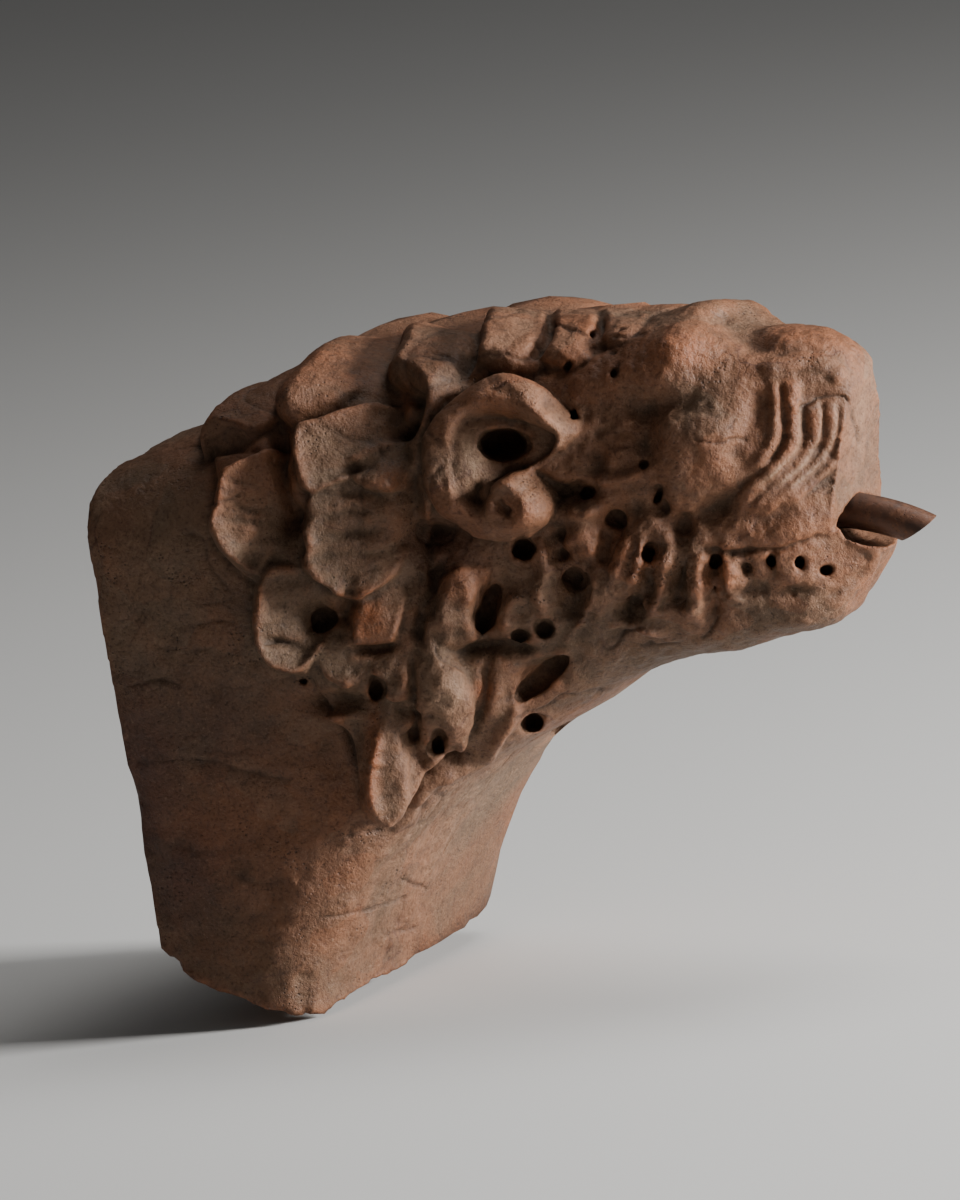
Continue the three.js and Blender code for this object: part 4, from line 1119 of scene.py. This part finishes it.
def marbleMaterial(pitting, dirtAndShade):
    material = bpy.data.materials.new("redMarble")
    material.use_nodes = True
    tree = material.node_tree
    shader = tree.nodes["Principled BSDF"]
    place = addNode(tree, "ShaderNodeTexCoord").outputs["Object"]
    hollow, ridge, seam = list(maskChannels(tree, "form"))
    polishAndHighlight, shadeAndStain, pale = list(maskChannels(tree, "areas"))
    swirl = {"Vector": place, "Scale": marble["warpScale"], "Detail": 3.0}
    warp = addNode(tree, "ShaderNodeTexNoise", swirl).outputs["Color"]
    bend = {0: marble["warp"], 4: place, 5: warp}
    bent = addNode(tree, "ShaderNodeMix", bend, data_type="VECTOR").outputs[1]
    web = {"Vector": bent, "Scale": marble["noduleScale"]}
    cells = addNode(tree, "ShaderNodeTexVoronoi", web)
    edges = addNode(tree, "ShaderNodeTexVoronoi", web, feature="DISTANCE_TO_EDGE")
    cloud = noise(tree, place, marble["cloudScale"], 6.0, 0.6, 0.4)
    fine = noise(tree, place, marble["fineScale"], 6.0, 0.65)
    grain = noise(tree, place, marble["grainScale"], 4.0, 0.7)
    speck = noise(tree, place, marble["speckScale"], 2.0, 0.6)
    nodule = addNode(tree, "ShaderNodeSeparateColor", {0: cells.outputs["Color"]}).outputs[0]
    colour = mixColours(tree, spread(tree, cloud, 0.36, 0.64), marble["rose"], marble["grey"])
    colour = mixColours(tree, spread(tree, nodule, 0.6, 1.0, 0.0, 0.16), colour, marble["orange"])
    colour = mixColours(tree, spread(tree, nodule, 0.0, 0.3, 0.2, 0.0), colour, marble["pale"])
    # pale areas, some of them painted light, and the painted highlight lines on the fold crests
    paleAndLitPart = times(tree, pale, spread(tree, fine, 0.3, 0.6, 0.5, 1.0))
    colour = mixColours(tree, paleAndLitPart, colour, marble["pale"])
    # orange on ridges and polished areas: wear, and painted highlights where the light catches
    worn = sums(tree, "ADD", times(tree, ridge, marble["ridgeWearAndHighlight"]), polishAndHighlight)
    worn = times(tree, worn, spread(tree, cloud, 0.3, 0.62, 0.35, 0.9))
    rubbedAndHighlight = times(tree, worn, spread(tree, fine, 0.3, 0.62, 0.4, 0.95))
    colour = mixColours(tree, rubbedAndHighlight, colour, marble["orange"])
    # stain colour: a real stain on the lower neck, with painted shade there and painted shadow under the
    # ear
    shadeAndStainPart = times(tree, shadeAndStain, spread(tree, cloud, 0.3, 0.6, 0.5, 1.0))
    colour = mixColours(tree, shadeAndStainPart, colour, marble["shadeAndStain"])
    veinBreak = spread(tree, noise(tree, place, marble["veinScale"], 3.0), 0.5, 0.68)
    vein = times(tree, spread(tree, edges.outputs["Distance"], 0.0, 0.035, 1.0, 0.0), veinBreak)
    colour = mixColours(tree, times(tree, vein, marble["vein"]), colour, marble["clay"])
    pits = placePitting(tree, pitting, place, marble)
    # the hollow mask darkens hollows and fold valleys: painted shade, mixed with dirt
    shadeAndDirt = placeDirtAndShade(tree, dirtAndShade, colour, place, hollow, marble)
    colour = shadeAndDirt["Colour"]
    fineDark = spread(tree, fine, 0.25, 0.75, 0.5, 0.0)
    colour = mixColours(tree, fineDark, colour, marble["fineShade"], "MULTIPLY")
    grainDark = spread(tree, grain, 0.28, 0.52, 0.9, 0.0)
    colour = mixColours(tree, grainDark, colour, marble["grainShade"], "MULTIPLY")
    bare = spread(tree, worn, 0.1, 0.7, 1.0, 0.35)
    dusty = times(tree, spread(tree, grain, 0.56, 0.78, 0.0, 0.5), bare)
    colour = mixColours(tree, dusty, colour, marble["pale"])
    colour = mixColours(tree, spread(tree, speck, 0.6, 0.78, 0.0, 0.45), colour, marble["pale"])
    crack = times(tree, seam, marble["crack"])
    pitDark = times(tree, pits["Pits"], marble["pits"])
    crackDark = times(tree, crack, marble["crackDark"])
    colour = mixColours(tree, sums(tree, "MAXIMUM", pitDark, crackDark), colour, marble["dark"])
    tree.links.new(colour, shader.inputs["Base Color"])
    rough = spread(tree, fine, 0.3, 0.7, 0.5, 0.72)
    rough = sums(tree, "SUBTRACT", rough, times(tree, worn, marble["wornGloss"]))
    rough = sums(tree, "ADD", rough, times(tree, shadeAndDirt["Mask"], marble["dirtAndShadeRough"]))
    tree.links.new(rough, shader.inputs["Roughness"])
    coarse = noise(tree, place, marble["coarseScale"], 9.0, 0.62, 0.3)
    height = times(tree, coarse, marble["coarseHeight"])
    height = sums(tree, "ADD", height, times(tree, grain, marble["grainHeight"]))
    height = sums(tree, "SUBTRACT", height, times(tree, crack, marble["crackHeight"]))
    height = sums(tree, "ADD", height, times(tree, pits["Height"], marble["pitHeight"]))
    addBump(tree, shader, height, marble)
    shader.inputs["Specular IOR Level"].default_value = marble["specular"]
    return material


def buildStone(pitting, dirtAndShade):
    piece = carvedBlock()
    cutBlock(piece)
    evenSkin(piece)
    finishSkin(piece, crisper(piece))
    piece.data.materials.clear()
    piece.data.materials.append(marbleMaterial(pitting, dirtAndShade))
    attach(piece, "root")
    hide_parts("lion_stone")
    return piece


# Rust on the iron bar.
rust = {
    "iron": (0.05, 0.026, 0.018, 1), "brown": (0.1, 0.042, 0.022, 1), "scale": (0.17, 0.075, 0.035, 1),
    "dirtAndShade": (0.05, 0.033, 0.022, 1), "dark": (0.012, 0.008, 0.007, 1),
    "cloudScale": 60.0, "fineScale": 320.0, "pitScale": 420.0, "pitAmount": 0.9, "dirtAndShadeAmount": 0.8,
    "pits": 0.7, "flakeRough": 0.2, "fineHeight": 0.5, "pitHeight": 0.5,
    "bumpStrength": 0.5, "bumpHeight": 0.0012, "metallic": 0.25,
}


def rustMaterial(pitting, dirtAndShade):
    material = bpy.data.materials.new("rustedIron")
    material.use_nodes = True
    tree = material.node_tree
    shader = tree.nodes["Principled BSDF"]
    place = addNode(tree, "ShaderNodeTexCoord").outputs["Object"]
    cloud = noise(tree, place, rust["cloudScale"], 5.0, 0.6, 0.6)
    fine = noise(tree, place, rust["fineScale"], 5.0, 0.65)
    colour = mixColours(tree, spread(tree, cloud, 0.36, 0.62), rust["iron"], rust["brown"])
    flakes = times(tree, spread(tree, fine, 0.52, 0.7), spread(tree, cloud, 0.4, 0.65))
    colour = mixColours(tree, flakes, colour, rust["scale"])
    shadeAndDirt = placeDirtAndShade(tree, dirtAndShade, colour, place, 0.0, rust)
    pits = placePitting(tree, pitting, place, rust)
    colour = mixColours(tree, times(tree, pits["Pits"], rust["pits"]), shadeAndDirt["Colour"], rust["dark"])
    tree.links.new(colour, shader.inputs["Base Color"])
    rough = spread(tree, fine, 0.3, 0.7, 0.38, 0.62)
    rough = sums(tree, "ADD", rough, times(tree, flakes, rust["flakeRough"]))
    tree.links.new(rough, shader.inputs["Roughness"])
    height = times(tree, fine, rust["fineHeight"])
    height = sums(tree, "ADD", height, times(tree, pits["Height"], rust["pitHeight"]))
    addBump(tree, shader, height, rust)
    shader.inputs["Metallic"].default_value = rust["metallic"]
    return material


def buildBar(pitting, dirtAndShade):
    piece = meshFromGrids("ironBar", [barGrid(bar["radius"], bar["rings"], bar["sides"])])
    a = math.radians(bar["slant"])
    way = Vector(axisU * math.cos(a) + axisV * math.sin(a) - axisOut * bar["cutLean"]).normalized()
    side = Vector(axisOut).cross(way).normalized()
    slant = Matrix((way, side, way.cross(side))).transposed().to_4x4()
    u, v = bar["cut"]
    slant.translation = Vector(axisU * u + axisV * v + axisOut * bar["cutOut"])
    cutAway(piece, [cutterBox("barCut", slant)])
    piece.data.materials.clear()
    piece.data.materials.append(rustMaterial(pitting, dirtAndShade))
    piece.data.shade_smooth()
    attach(piece, "root")
    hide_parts("iron_bar")
    print("bar made:", len(piece.data.vertices), "points")
    return piece


# Studio: where the photograph's middle lies on the layout, its height in millimetres, and the lights.
studio = {
    "middle": (150.6, 57), "tall": 720, "distance": 7.0, "depth": 200,
    "lights": [  # name, way from the part as right, up and towards the camera, distance, size, power
        ("key", (0.9, 0.3, 0.3), 3.2, 0.8, 300),
        ("fill", (-0.5, 0.4, 0.8), 4.0, 3.0, 4),
        ("top", (0.25, 1.0, 0.0), 3.0, 1.6, 40),
    ],
    "sensor": 36, "clipEnd": 100, "world": 0.05, "worldColour": (1, 1, 1, 1),
    "floorColour": (0.64, 0.63, 0.61, 1), "floorRough": 0.9, "floorHalf": 30, "floorDrop": 0.001,
}


def lookAlong(piece, place, right, up, back):
    turn = Matrix((right, up, back)).transposed()
    piece.matrix_world = Matrix.Translation(place) @ turn.to_4x4()


def buildStudio():
    u, v = studio["middle"]
    aim = Vector(axisU * u + axisV * v + axisOut * studio["depth"]) * mm
    camera = bpy.data.cameras.new("camera")
    camera.sensor_width = studio["sensor"]
    camera.lens = studio["sensor"] / 2 / (studio["tall"] / 2 * mm / studio["distance"])
    camera.clip_end = studio["clipEnd"]
    holder = addObject("camera", camera)
    lookAlong(holder, aim + Vector(axisOut) * studio["distance"], axisU, axisV, axisOut)
    bpy.context.scene.camera = holder
    for name, way, distance, size, power in studio["lights"]:
        lamp = bpy.data.lights.new(name, "AREA")
        lamp.size = size
        lamp.energy = power
        light = addObject(name, lamp)
        back = Vector(axisU * way[0] + axisV * way[1] + axisOut * way[2]).normalized()
        light.location = aim + back * distance
        light.rotation_mode = "QUATERNION"
        light.rotation_quaternion = back.to_track_quat("Z", "Y")
    world = bpy.data.worlds.new("studio")
    world.use_nodes = True
    sky = world.node_tree.nodes["Background"].inputs
    sky["Strength"].default_value = studio["world"]
    sky["Color"].default_value = studio["worldColour"]
    bpy.context.scene.world = world
    mesh = bpy.data.meshes.new("floor")
    half, z = studio["floorHalf"], cadLow.z - studio["floorDrop"]
    corners = [(-half, -half, z), (half, -half, z), (half, half, z), (-half, half, z)]
    mesh.from_pydata(corners, [], [(0, 1, 2, 3)])
    floor = addObject("floor", mesh)
    material = bpy.data.materials.new("paleFloor")
    material.use_nodes = True
    shader = material.node_tree.nodes["Principled BSDF"]
    shader.inputs["Base Color"].default_value = studio["floorColour"]
    shader.inputs["Roughness"].default_value = studio["floorRough"]
    mesh.materials.append(material)
    print("studio set")


pitting = pittingGroup()
dirtAndShade = dirtAndShadeGroup()
buildStone(pitting, dirtAndShade)
buildBar(pitting, dirtAndShade)
buildStudio()
